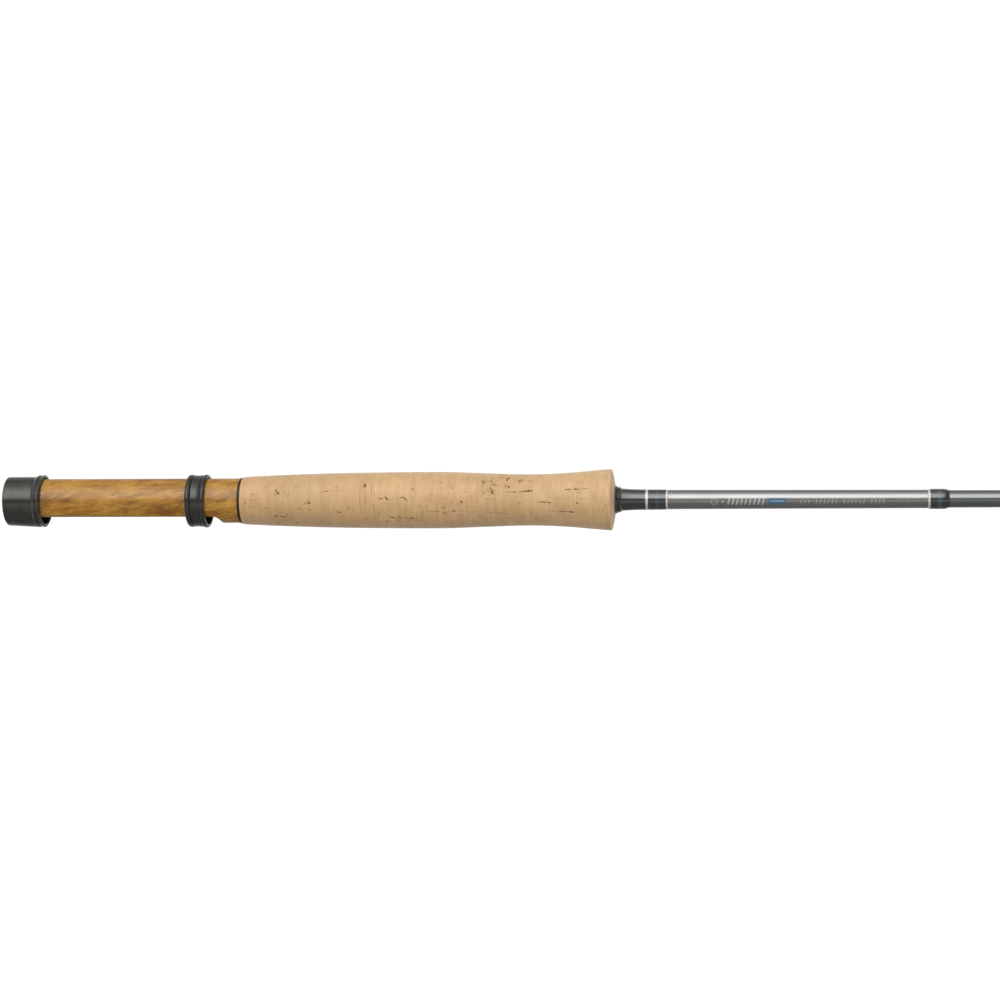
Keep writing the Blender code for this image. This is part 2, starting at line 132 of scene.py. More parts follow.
# Light: radiance against the angle round the rod, 0 towards the camera, 90 overhead, 180 behind, -90 below.
SOFT_BOX = ((5, 0.0), (13, 3.4), (22, 5.6), (34, 6.4), (50, 5.8), (62, 3.2), (80, 1.2), (104, 0.0))
SURROUNDINGS = (
    (-180, 0.80), (-125, 0.42),
    (-105, 0.30), (-80, 0.46),
    (-45, 0.46), (-30, 0.85),
    (-18, 1.35), (-9, 0.9),
    (-3, 0.2), (5, 0.16),
    (12, 0.3), (85, 0.42),
    (120, 0.55), (180, 0.90),
)
PEAK = 10.0  # the radiance that a full ramp stands for
BOX_CENTRE_X = -0.12  # the box is centred on the camera's own heading
BOX_EDGE = (0.36, 0.22)  # where it ends along x and where it is full, seen from its centre
SIDE_LIGHT = 0.6  # from far off the rod's two ends
SIDE_EDGE = (0.66, 0.86)
BACKDROP = 1.05

# Floor, in metres
FLOOR_HALF = 6.0
FLOOR_GAP = 0.0003
FLOOR_GLOW = 0.95
FLOOR_BOUNCE = 0.1


# ---- reading the frame
def span(node):
    """Lowest and highest x of a CAD node."""
    low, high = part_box(node)
    return low[0] / MM, high[0] / MM


def outer_radius(node):
    """Half of a CAD node's width."""
    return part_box(node)[1][1] / MM


def nodes_named(prefix):
    """The CAD nodes whose names start with prefix, from the butt forwards."""
    found = [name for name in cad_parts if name.startswith(prefix)]
    return sorted(found, key=lambda name: span(name)[0])


def outer_profile(*nodes):
    """(x, radius) arrays of the outermost points of CAD nodes along the rod."""
    widest = {}
    for node in nodes:
        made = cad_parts[node]
        for vertex in made.data.vertices:
            place = (made.matrix_world @ vertex.co) / MM
            x = round(place.x, 2)
            widest[x] = max(widest.get(x, 0.0), math.hypot(place.y, place.z))
    xs = sorted(widest)
    return np.array(xs), np.array([widest[x] for x in xs])


def curve_through(xs, ys):
    """A smooth function through points, with straight lines beyond its ends."""
    slopes = np.gradient(ys, xs)

    def value(x):
        x = np.clip(np.asarray(x, float), xs[0], xs[-1])
        i = np.clip(np.searchsorted(xs, x) - 1, 0, len(xs) - 2)
        width = xs[i + 1] - xs[i]
        t = (x - xs[i]) / width
        return (
            ys[i] * (1 + 2 * t) * (1 - t) ** 2
            + slopes[i] * width * t * (1 - t) ** 2
            + ys[i + 1] * t**2 * (3 - 2 * t)
            + slopes[i + 1] * width * t**2 * (t - 1)
        )

    return value


CORK_NODES = nodes_named("cork_ring_")
grip_x, grip_radius = outer_profile(*CORK_NODES)
on_barrel = grip_x <= BARREL_END_X + 0.01
grip_r = curve_through(grip_x[on_barrel], grip_radius[on_barrel])
blank_x, blank_radius = outer_profile("blank")


def blank_r(x):
    """Outer radius of the blank, which tapers evenly."""
    return np.interp(x, blank_x[[0, -1]], blank_radius[[0, -1]])


# ---- mesh making
def angles_round(count):
    return np.arange(count) * (2 * math.pi / count)


def rows_to_mesh(name, xs, radii, angles, closed=True, centre=(0.0, 0.0, 0.0)):
    """A mesh of loops round X. Loop i lies at xs[i] and radii[i]: one number each, or one for each angle.

    Loops run over the outside in +X and back through the bore. closed joins the last loop to the first.
    """
    radii = np.broadcast_to(np.asarray(radii, float).reshape(len(xs), -1), (len(xs), len(angles)))
    along = np.broadcast_to(np.asarray(xs, float).reshape(len(xs), -1), radii.shape)
    points = np.stack([along, radii * np.sin(angles), radii * np.cos(angles)], axis=-1)
    points = (points.reshape(-1, 3) + centre) * MM
    rows, sides = radii.shape
    i, j = np.meshgrid(np.arange(rows if closed else rows - 1), np.arange(sides), indexing="ij")
    i2, j2 = (i + 1) % rows, (j + 1) % sides
    quads = np.stack([i * sides + j, i2 * sides + j, i2 * sides + j2, i * sides + j2], axis=-1)
    mesh = bpy.data.meshes.new(name)
    mesh.from_pydata(points.tolist(), [], quads.reshape(-1, 4).tolist())
    if not closed:
        merge_poles(mesh)
    return mesh


def merge_poles(mesh):
    """Joins the points of each loop that has shrunk onto the axis."""
    bm = bmesh.new()
    bm.from_mesh(mesh)
    bmesh.ops.remove_doubles(bm, verts=bm.verts, dist=1e-7)
    bm.to_mesh(mesh)
    bm.free()


def piece(mesh, look, slot, *replaced, body=ROD, sharp=SHARP):
    """A shown piece with its mesh's name. It rides on a body and stands for CAD nodes."""
    mesh.shade_smooth()
    mesh.set_sharp_from_angle(angle=sharp)
    mesh.materials.append(MATERIALS[look])
    made = bpy.data.objects.new(mesh.name, mesh)
    bpy.context.scene.collection.objects.link(made)
    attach(made, body)
    if replaced:
        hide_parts(*replaced)


def rounded(outline, radius, closed=True, steps=4):
    """The (x, r) outline with its corners eased over radius."""
    points = [np.array(point, float) for point in outline]
    count = len(points)
    eased = []
    for i, corner in enumerate(points):
        if not closed and i in (0, count - 1):
            eased.append(corner)
            continue
        before, after = points[i - 1] - corner, points[(i + 1) % count] - corner
        reach = min(radius, np.linalg.norm(before) * 0.45, np.linalg.norm(after) * 0.45)
        a = corner + before / np.linalg.norm(before) * reach
        b = corner + after / np.linalg.norm(after) * reach
        for k in range(steps + 1):
            t = k / steps
            eased.append(a * (1 - t) ** 2 + corner * 2 * t * (1 - t) + b * t**2)
    return np.array(eased)


def turned_piece(name, outline, look, slot, node, ease):
    """A turned solid from a closed (x, r) outline whose corners are eased."""
    fine = rounded(outline, ease)
    piece(rows_to_mesh(name, fine[:, 0], fine[:, 1], angles_round(FINE)), look, slot, node)


def bead(x0, x1, foot_r, crest_r, steps=14):
    """Points of a half-round bead that stands on foot_r."""
    turn = np.linspace(0, math.pi, steps + 1)
    middle, half = (x0 + x1) / 2, (x1 - x0) / 2
    return list(zip(middle - half * np.cos(turn), foot_r + (crest_r - foot_r) * np.sin(turn)))


def eased_line(start, end, steps=7):
    """Points after start that lead to end, level at both."""
    (x0, r0), (x1, r1) = start, end
    shares = np.linspace(0, 1, steps + 1)[1:]
    return [(x0 + (x1 - x0) * t, r0 + (r1 - r0) * (1 - math.cos(math.pi * t)) / 2) for t in shares]


def smoothstep(low, high, x):
    t = np.clip((x - low) / (high - low), 0.0, 1.0)
    return t * t * (3 - 2 * t)


# ---- materials
class Graph:
    """A short way to write a node tree. Kinds of node leave out their prefix, ShaderNode."""

    def __init__(self, tree):
        self.tree = tree

    def add(self, kind, inputs=(), **settings):
        node = self.tree.nodes.new("ShaderNode" + kind)
        for key, value in settings.items():
            setattr(node, key, value)
        for key, value in dict(inputs).items():
            self.feed(node.inputs[key], value)
        return node

    def feed(self, socket, value):
        if isinstance(value, bpy.types.NodeSocket):
            self.tree.links.new(value, socket)
        else:
            socket.default_value = value

    def maths(self, operation, a, b=0.0, c=0.0):
        return self.add("Math", {0: a, 1: b, 2: c}, operation=operation).outputs[0]

    def remap(self, value, low, high, to_low=0.0, to_high=1.0):
        inputs = {"Value": value, "From Min": low, "From Max": high, "To Min": to_low, "To Max": to_high}
        return self.add("MapRange", inputs, interpolation_type="SMOOTHSTEP").outputs["Result"]

    def ramp(self, factor, *stops):
        node = self.add("ValToRGB", {"Fac": factor})
        elements = node.color_ramp.elements
        while len(elements) < len(stops):
            elements.new(0.5)
        for element, (position, colour) in zip(elements, stops):
            element.position, element.color = position, (*colour, 1)
        return node.outputs["Color"]


class Nodes(Graph):
    """A material's nodes before a Principled BSDF. mm is the place on the object in millimetres."""

    def __init__(self, name, **numbers):
        self.material = bpy.data.materials.new(name)
        self.material.use_nodes = True
        super().__init__(self.material.node_tree)
        self.shader = self.tree.nodes["Principled BSDF"]
        self.set(**numbers)
        self.mm = self.scaled(self.add("TexCoord").outputs["Object"], (1 / MM, 1 / MM, 1 / MM))

    def set(self, **sockets):
        for socket, value in sockets.items():
            self.feed(self.shader.inputs[socket.replace("_", " ")], value)
        return self.material

    def scaled(self, vector, factors):
        return self.add("VectorMath", {0: vector, 1: factors}, operation="MULTIPLY").outputs[0]

    def moved(self, vector, offset):
        return self.add("VectorMath", {0: vector, 1: offset}, operation="ADD").outputs[0]

    def noise(self, vector, factors, detail=3.0, roughness=0.5):
        place = self.scaled(vector, factors)
        inputs = {"Vector": place, "Scale": 1.0, "Detail": detail, "Roughness": roughness}
        return self.add("TexNoise", inputs).outputs["Fac"]

    def noise_vector(self, vector, factors, amount):
        """A vector that wanders by amount round zero."""
        inputs = {"Vector": self.scaled(vector, factors), "Scale": 1.0, "Detail": 2.0}
        colour = self.add("TexNoise", inputs).outputs["Color"]
        return self.scaled(self.moved(colour, (-0.5, -0.5, -0.5)), amount)

    def vary(self, noise, to_low=0.0, to_high=1.0):
        """A noise, which mostly stays within 0.3 and 0.7, taken to a range of its own."""
        return self.remap(noise, 0.3, 0.7, to_low, to_high)

    def mix(self, factor, a, b, blend="MIX"):
        node = self.add("Mix", {"Factor": factor}, data_type="RGBA", blend_type=blend)
        for socket, colour in ((node.inputs[6], a), (node.inputs[7], b)):
            self.feed(socket, colour if isinstance(colour, bpy.types.NodeSocket) else (*colour, 1))
        return node.outputs[2]

    def tinted(self, factor, colour, low, high):
        """colour, from low times as bright to high times as bright."""
        return self.mix(factor, [c * low for c in colour], [c * high for c in colour])

    def shade(self, colour, factor):
        """colour times a grey factor."""
        grey = self.add("CombineColor", {"Red": factor, "Green": factor, "Blue": factor}).outputs[0]
        return self.mix(1.0, colour, grey, "MULTIPLY")

    def attribute(self, name, output="Fac"):
        return self.add("Attribute", attribute_name=name).outputs[output]

    def bump(self, height, distance):
        inputs = {"Height": height, "Distance": distance * MM, "Strength": 1.0}
        return self.add("Bump", inputs).outputs["Normal"]


def anodised_metal(name, colour, roughness):
    """Black anodised aluminium with fine turning lines round the axis and faint handling marks."""
    n = Nodes(name, Specular_IOR_Level=0.28)
    lines = n.noise(n.mm, (9.0, 0.25, 0.25), detail=4.0, roughness=0.7)
    cloud = n.noise(n.mm, (0.35, 0.35, 0.35))
    rub = n.noise(n.mm, (1.8, 1.8, 1.8), detail=5.0, roughness=0.65)
    base = n.tinted(n.vary(cloud), colour, 0.86, 1.14)
    base = n.shade(base, n.remap(lines, 0.25, 0.75, 0.9, 1.1))
    metal = n.vary(rub, 0.25, 0.4)
    rough = n.maths("ADD", n.vary(rub, roughness - 0.03, roughness + 0.04), n.vary(lines, -0.02, 0.02))
    return n.set(Base_Color=base, Metallic=metal, Roughness=rough, Normal=n.bump(lines, 0.004))


def seat_wood():
    """Golden-brown figured wood with slanting dark streaks, under a satin lacquer."""
    n = Nodes("seat_wood", Specular_IOR_Level=0.15, Coat_Weight=0.4, Coat_Roughness=0.26, Coat_IOR=1.5)
    tilt = n.add("VectorRotate", {"Vector": n.mm, "Angle": 0.21}, rotation_type="Y_AXIS").outputs[0]
    sway = n.noise_vector(n.mm, (0.05, 0.10, 0.10), (3.0, 4.0, 4.0))
    warped = n.moved(tilt, sway)
    curl = n.moved(warped, n.noise_vector(n.mm, (0.28, 0.45, 0.45), (2.4, 1.5, 1.5)))
    figure = n.noise(warped, (0.05, 0.16, 0.16), detail=4.0, roughness=0.6)
    streaks = n.noise(curl, (0.085, 0.55, 0.55), detail=5.0, roughness=0.62)
    fibres = n.noise(warped, (0.35, 4.0, 4.0))
    flecks = n.noise(curl, (0.22, 1.25, 1.25), roughness=0.6)
    tone = n.maths("MULTIPLY_ADD", streaks, 0.6, n.maths("MULTIPLY", figure, 0.4))
    base = n.ramp(
        tone,
        (0.37, (0.150, 0.060, 0.006)),
        (0.44, (0.225, 0.098, 0.009)),
        (0.50, (0.295, 0.136, 0.014)),
        (0.56, (0.340, 0.170, 0.023)),
        (0.64, (0.385, 0.213, 0.038)),
    )
    base = n.shade(base, n.vary(fibres, 0.92, 1.07))
    base = n.mix(n.remap(flecks, 0.565, 0.66, 0.0, 0.68), base, (0.105, 0.042, 0.006))
    height = n.maths("MULTIPLY_ADD", fibres, 0.5, n.maths("MULTIPLY", flecks, -0.6))
    rough = n.vary(fibres, 0.38, 0.5)
    return n.set(Base_Color=base, Roughness=rough, Normal=n.bump(height, 0.02))


def cork_material():
    """Sanded cork: growth lines across the rod, pores along it, and a tone of its own for each ring.

    The meshes carry three attributes: pit (how deep in a pit), tone (the ring's colour) and shift
    (where in the solid texture the ring was cut).
    """
    n = Nodes("cork", Sheen_Weight=0.28, Sheen_Roughness=0.6, Sheen_Tint=(1.0, 0.93, 0.86, 1.0))
    place = n.moved(n.mm, n.attribute("shift", "Vector"))
    wander = n.moved(place, n.noise_vector(place, (0.1, 0.09, 0.09), (2.0, 0.0, 0.0)))
    blotch = n.noise(place, (0.22, 0.16, 0.16), roughness=0.6)
    growth = n.noise(wander, (1.0, 0.07, 0.07))
    fine_growth = n.noise(wander, (5.0, 0.22, 0.22), detail=2.0)
    pores = n.noise(place, (0.16, 1.5, 1.5), roughness=0.6)
    dots = n.noise(place, (1.3, 2.4, 2.4), detail=2.0)
    cells = n.noise(place, (7.0, 7.0, 7.0), detail=2.0, roughness=0.6)
    patchy = n.noise(n.moved(place, (40.0, 0.0, 0.0)), (0.22, 0.16, 0.16), detail=2.0)

    base = n.mix(n.vary(blotch), (0.385, 0.226, 0.082), (0.445, 0.270, 0.105))
    base = n.mix(1.0, base, n.attribute("tone", "Color"), "MULTIPLY")
    base = n.shade(base, n.remap(growth, 0.28, 0.72, 0.92, 1.06))
    base = n.shade(base, n.vary(fine_growth, 0.98, 1.02))
    base = n.shade(base, n.vary(cells, 0.97, 1.02))
    line = n.maths("ABSOLUTE", n.maths("SUBTRACT", n.noise(wander, (0.42, 0.035, 0.035), detail=2.0), 0.5))
    base = n.mix(n.remap(line, 0.0, 0.018, 0.4, 0.0), base, (0.25, 0.130, 0.045))
    pore_mask = n.maths("MULTIPLY", n.remap(pores, 0.60, 0.70), n.remap(patchy, 0.44, 0.6))
    base = n.mix(n.maths("MULTIPLY", pore_mask, 0.6), base, (0.20, 0.100, 0.035))
    dot_mask = n.maths("MULTIPLY", n.remap(dots, 0.68, 0.76), n.remap(patchy, 0.5, 0.62))
    base = n.mix(n.maths("MULTIPLY", dot_mask, 0.7), base, (0.17, 0.085, 0.028))
    pit = n.attribute("pit")
    # Pits and cracks are drawn darker the deeper they are. This is partly the dark walls of the cork's pores
    # and partly painted shade in the hollows.
    base = n.mix(n.remap(pit, 0.05, 0.85), base, (0.135, 0.058, 0.016))

    height = n.maths("MULTIPLY_ADD", cells, 0.5, n.maths("MULTIPLY", growth, 0.5))
    height = n.maths("SUBTRACT", height, n.maths("MULTIPLY", n.maths("ADD", pore_mask, dot_mask), 1.2))
    rough = n.vary(cells, 0.56, 0.68)
    gloss = n.remap(pit, 0.05, 0.6, 0.85, 0.1)
    return n.set(Base_Color=base, Roughness=rough, Specular_IOR_Level=gloss, Normal=n.bump(height, 0.05))


def wound_thread(name, colour, metallic, glint):
    """Thread wound round the rod, seen through clear epoxy."""
    n = Nodes(name, Specular_IOR_Level=0.1, Coat_Weight=1.0, Coat_Roughness=0.035, Coat_IOR=1.6)
    n.set(Metallic=metallic)
    x = n.add("SeparateXYZ", {0: n.mm}).outputs["X"]
    turn = n.maths("SINE", n.maths("MULTIPLY", x, 2 * math.pi / THREAD_PITCH))
    ply = n.noise(n.mm, (6.0, 3.5, 3.5), roughness=0.6)
    drift = n.noise(n.mm, (0.5, 0.12, 0.12), detail=2.0)
    base = n.tinted(n.vary(ply), colour, 0.8, glint)
    # Painted highlight and shade: each turn of thread is drawn lighter on its crest and darker in the groove
    # beside the next turn, as its round section would be lit.
    base = n.shade(base, n.remap(turn, -1.0, 1.0, 0.72, 1.12))
    base = n.shade(base, n.vary(drift, 0.9, 1.1))
    rough = n.vary(ply, 0.3, 0.45)
    return n.set(Base_Color=base, Roughness=rough, Normal=n.bump(turn, 0.02))


def gunmetal_lacquer():
    """Metallic lacquer with fine flakes under a clear gloss."""
    n = Nodes("gunmetal_lacquer", Metallic=0.7, Coat_Weight=1.0, Coat_Roughness=0.05, Coat_IOR=1.55)
    flakes = n.noise(n.mm, (14.0, 14.0, 14.0), detail=2.0, roughness=0.7)
    spread = n.noise(n.mm, (0.12, 0.3, 0.3), detail=2.0)
    base = n.mix(n.remap(flakes, 0.35, 0.65), (0.100, 0.100, 0.098), (0.150, 0.150, 0.147))
    base = n.shade(base, n.vary(spread, 0.95, 1.05))
    rough = n.vary(flakes, 0.24, 0.34)
    return n.set(Base_Color=base, Roughness=rough, Normal=n.bump(flakes, 0.002))


def graphite(name, colour, roughness, coat):
    """Graphite with a trace of its spiral tape under the finish."""
    n = Nodes(name, Metallic=0.5, Coat_Weight=coat, Coat_Roughness=0.06, Coat_IOR=1.62)
    x, y, z = n.add("SeparateXYZ", {0: n.mm}).outputs
    turn = n.maths("DIVIDE", n.maths("ARCTAN2", y, z), 2 * math.pi)
    spiral = n.maths("FRACT", n.maths("ADD", turn, n.maths("MULTIPLY", x, 1 / 3.2)))
    ridge = n.maths("ABSOLUTE", n.maths("SUBTRACT", spiral, 0.5))
    weave = n.noise(n.mm, (2.5, 5.0, 5.0), roughness=0.6)
    spread = n.noise(n.mm, (0.05, 0.3, 0.3), detail=2.0)
    base = n.tinted(n.vary(weave), colour, 0.85, 1.15)
    base = n.shade(base, n.remap(ridge, 0.40, 0.5, 1.0, 1.12))
    base = n.shade(base, n.vary(spread, 0.94, 1.06))
    rough = n.vary(weave, roughness - 0.04, roughness + 0.06)
    return n.set(Base_Color=base, Roughness=rough, Normal=n.bump(ridge, 0.004))


def check_material(name, colour, coat):
    """Smooth black synthetic, faintly marked by turning."""
    n = Nodes(name, Specular_IOR_Level=0.2, Coat_Weight=coat, Coat_Roughness=0.04, Coat_IOR=1.6)
    lines = n.noise(n.mm, (8.0, 0.4, 0.4))
    specks = n.noise(n.mm, (4.0, 4.0, 4.0), detail=4.0)
    base = n.tinted(n.remap(specks, 0.35, 0.7), colour, 0.75, 1.4)
    rough = n.vary(lines, 0.32, 0.45)
    return n.set(Base_Color=base, Roughness=rough, Normal=n.bump(lines, 0.006))


def guide_steel():
    """Dark polished steel with faint drawing marks along the wire."""
    n = Nodes("guide_steel", Metallic=1.0)
    marks = n.noise(n.mm, (1.2, 7.0, 7.0), detail=4.0, roughness=0.6)
    cloud = n.noise(n.mm, (0.8, 0.8, 0.8), detail=2.0)
    base = n.mix(n.vary(cloud), (0.30, 0.31, 0.33), (0.42, 0.43, 0.45))
    rough = n.vary(marks, 0.16, 0.28)
    return n.set(Base_Color=base, Roughness=rough, Normal=n.bump(marks, 0.004))


def guide_ceramic():
    """Polished black ceramic."""
    n = Nodes("guide_ceramic", Specular_IOR_Level=0.7, Coat_Weight=0.3, Coat_Roughness=0.03)
    grain = n.noise(n.mm, (5.0, 5.0, 5.0), detail=4.0)
    base = n.mix(n.vary(grain), (0.014, 0.014, 0.017), (0.030, 0.030, 0.034))
    return n.set(Base_Color=base, Roughness=n.vary(grain, 0.07, 0.13))


def arbor_foam():
    """Rigid foam bush with open cells."""
    n = Nodes("arbor_foam", Specular_IOR_Level=0.3)
    cells = n.add("TexVoronoi", {"Vector": n.mm, "Scale": 2.2}).outputs["Distance"]
    base = n.mix(n.remap(cells, 0.1, 0.6), (0.46, 0.42, 0.34), (0.76, 0.73, 0.65))
    return n.set(Base_Color=base, Roughness=n.remap(cells, 0.1, 0.6, 0.95, 0.8), Normal=n.bump(cells, 0.15))


def decal_paint(name, colour):
    """Thin printed paint, slightly worn."""
    n = Nodes(name, Coat_Weight=0.8, Coat_Roughness=0.08, Metallic=0.2)
    wear = n.noise(n.mm, (3.0, 3.0, 3.0), detail=4.0, roughness=0.65)
    base = n.tinted(n.remap(wear, 0.25, 0.75), colour, 0.82, 1.0)
    return n.set(Base_Color=base, Roughness=n.vary(wear, 0.25, 0.4))


MATERIALS = {
    "metal": anodised_metal("anodised_metal", (0.031, 0.031, 0.028), 0.17),
    "wood": seat_wood(),
    "cork": cork_material(),
    "black": wound_thread("black_thread", (0.0095, 0.0092, 0.0088), 0.0, 1.3),
    "silver": wound_thread("silver_thread", (0.60, 0.61, 0.61), 0.6, 1.25),
    "blue": wound_thread("blue_thread", (0.014, 0.042, 0.062), 0.1, 1.4),
    "lacquer": gunmetal_lacquer(),
    "blank": graphite("blank_finish", (0.040, 0.050, 0.043), 0.3, 1.0),
    "spigot": graphite("bare_graphite", (0.030, 0.031, 0.033), 0.42, 0.15),
    "check": check_material("check_black", (0.009, 0.010, 0.012), 1.0),
    "washer": check_material("washer_black", (0.013, 0.009, 0.006), 0.0),
    "steel": guide_steel(),
    "ceramic": guide_ceramic(),
    "foam": arbor_foam(),
    "paint_light": decal_paint("decal_light", (0.34, 0.35, 0.35)),
    "paint_faint": decal_paint("decal_faint", (0.24, 0.245, 0.245)),
    "paint_blue": decal_paint("decal_blue", (0.030, 0.095, 0.150)),
    "paint_pale_blue": decal_paint("decal_pale_blue", (0.085, 0.23, 0.34)),
}


# ---- reel seat
def make_butt_cap():
    """A cup with a double-beaded rim. Its reel side widens towards the rim to take the reel foot."""
    x1 = span("butt_cap")[1] - 0.25
    crests = [(x, RIM_R) for x in RIM_CRESTS_X]
    outline = [
        (0.0, 0.0),
        (0.0, CAP_R * 0.72),
        (0.12, CAP_R * 0.74),
        (0.12, CAP_R * 0.78),
        (0.0, CAP_R * 0.80),
        (0.0, CAP_R - CAP_CHAMFER),
        (CAP_CHAMFER, CAP_R),
        *((x, CAP_R) for x in np.linspace(1.0, CAP_BODY_LENGTH, 9)),
        *eased_line((CAP_BODY_LENGTH, CAP_R), crests[0]),
        *eased_line(crests[0], (RIM_GROOVE_X[0], RIM_GROOVE_R)),
        *eased_line((RIM_GROOVE_X[1], RIM_GROOVE_R), crests[1]),
        *eased_line(crests[1], (x1, RIM_GROOVE_R - 0.4)),
        (x1, CAP_BORE_R + 0.4),
        (x1 - 0.5, CAP_BORE_R),
        (CAP_END_WALL, CAP_BORE_R),
        (CAP_END_WALL, 0.0),
    ]
    fine = rounded(outline, 0.09, closed=False, steps=3)
    angles = angles_round(FINE)
    along, radii = fine[:, 0], np.repeat(fine[:, 1:2], FINE, axis=1)
    outside = (along <= RIM_CRESTS_X[0]) & (fine[:, 1] > CAP_BORE_R + 0.05)
    down = np.clip(-np.cos(angles), 0.0, 1.0)
    widen = 1.0 + CAP_HOOD * np.clip(along, 0.0, CAP_BODY_LENGTH)[:, None] / CAP_BODY_LENGTH * down**1.8
    radii[outside] = np.minimum(radii * widen, RIM_R)[outside]
    mesh = rows_to_mesh("butt_cap_fine", along, radii, angles, closed=False)
    piece(mesh, "metal", "anodised", "butt_cap", sharp=math.radians(50))


def make_slide_ring():
    """A ring with a bead at each rim and a shallow cove between them. Its reel side deepens to the front."""
    x0, x1 = span("slide_ring")
    bore = CAP_BORE_R
    rear, front = x0 + RING_BEADS[0], x1 - RING_BEADS[1]
    cove_x = np.linspace(rear + 0.42, front - 0.42, 13)
    cove_r = RING_SHOULDER_R - (RING_SHOULDER_R - RING_WAIST_R) * np.sin(np.linspace(0, math.pi, 13))
    outline = [
        (x0, bore + 0.2),
        (x0, RING_WAIST_R - 0.4),
        *bead(x0, rear - 0.1, RING_WAIST_R - 0.28, RIM_R)[1:],
        (rear + 0.12, RING_WAIST_R - 0.16),
        *zip(cove_x, cove_r),
        (front - 0.12, RING_WAIST_R - 0.16),
        *bead(front + 0.1, x1, RING_WAIST_R - 0.28, RIM_R)[:-1],
        (x1, RING_WAIST_R - 0.4),
        (x1, bore + 0.2),
        (x1 - 0.2, bore),
        (x0 + 0.2, bore),
    ]
    fine = rounded(outline, 0.06)
    angles = angles_round(FINE)
    down = np.clip(-np.cos(angles), 0.0, 1.0)
    deepen = 1.0 + RING_HOOD * (fine[:, :1] - x0) / (x1 - x0) * down**2
    mesh = rows_to_mesh("slide_ring_fine", fine[:, 0], fine[:, 1:] * deepen, angles)
    piece(mesh, "metal", "anodised", "slide_ring", body=RING)


def make_seat_insert():
    """The bored insert with the reel foot's flat, whose edges are slightly broken."""
    x0, x1 = span("seat_insert")
    wood_r = outer_radius("seat_insert") / math.cos(math.pi / 48)
    crease = math.acos(-MORTISE_Z / wood_r)
    flat = np.arctan(np.linspace(-math.tan(crease), math.tan(crease), 49)) + math.pi
    around = np.linspace(flat[-1], flat[0] + 2 * math.pi, 176)[1:-1]
    angles = np.concatenate([flat, around])
    runout = np.linspace(0.0, MORTISE_RUNOUT_R, 34)
    xs = np.concatenate([[x0 + 0.15], np.arange(x0 + 0.8, MORTISE_END_X, 0.8), MORTISE_END_X + runout])
    xs = np.concatenate([xs, np.arange(xs[-1] + 0.5, x1 - 0.2, 0.5), [x1 - 0.12]])
    into = np.clip(xs - MORTISE_END_X, 0.0, MORTISE_RUNOUT_R)
    floor = -MORTISE_Z + MORTISE_RUNOUT_R - np.sqrt(MORTISE_RUNOUT_R**2 - into**2)
    floor[xs > MORTISE_END_X + MORTISE_RUNOUT_R - 0.01] = 99.0  # no flat from here on
    below = np.maximum(-np.cos(angles), 1e-3)
    cut = floor[:, None] / below[None, :]
    blend = np.clip(0.5 + 0.5 * (cut - wood_r) / MORTISE_EDGE, 0.0, 1.0)
    radii = cut * (1 - blend) + wood_r * blend - MORTISE_EDGE * blend * (1 - blend)
    bore = np.full((2, len(angles)), WOOD_BORE_R)
    radii = np.concatenate([radii[:1] - 0.15, radii, radii[-1:] - 0.12, bore])
    mesh = rows_to_mesh("seat_insert_fine", [x0, *xs, x1, x1, x0], radii, angles)
    piece(mesh, "wood", "seat_wood", "seat_insert", sharp=math.radians(30))


def make_seat_check():
    """A thin round-edged washer."""
    x0, x1 = span("seat_check")
    outer = outer_radius("seat_check")
    outline = [(x0, outer), (x1, outer), (x1, blank_r(x1) + 0.1), (x0, blank_r(x0) + 0.1)]
    turned_piece("seat_check_fine", outline, "washer", "check", "seat_check", ease=0.18)


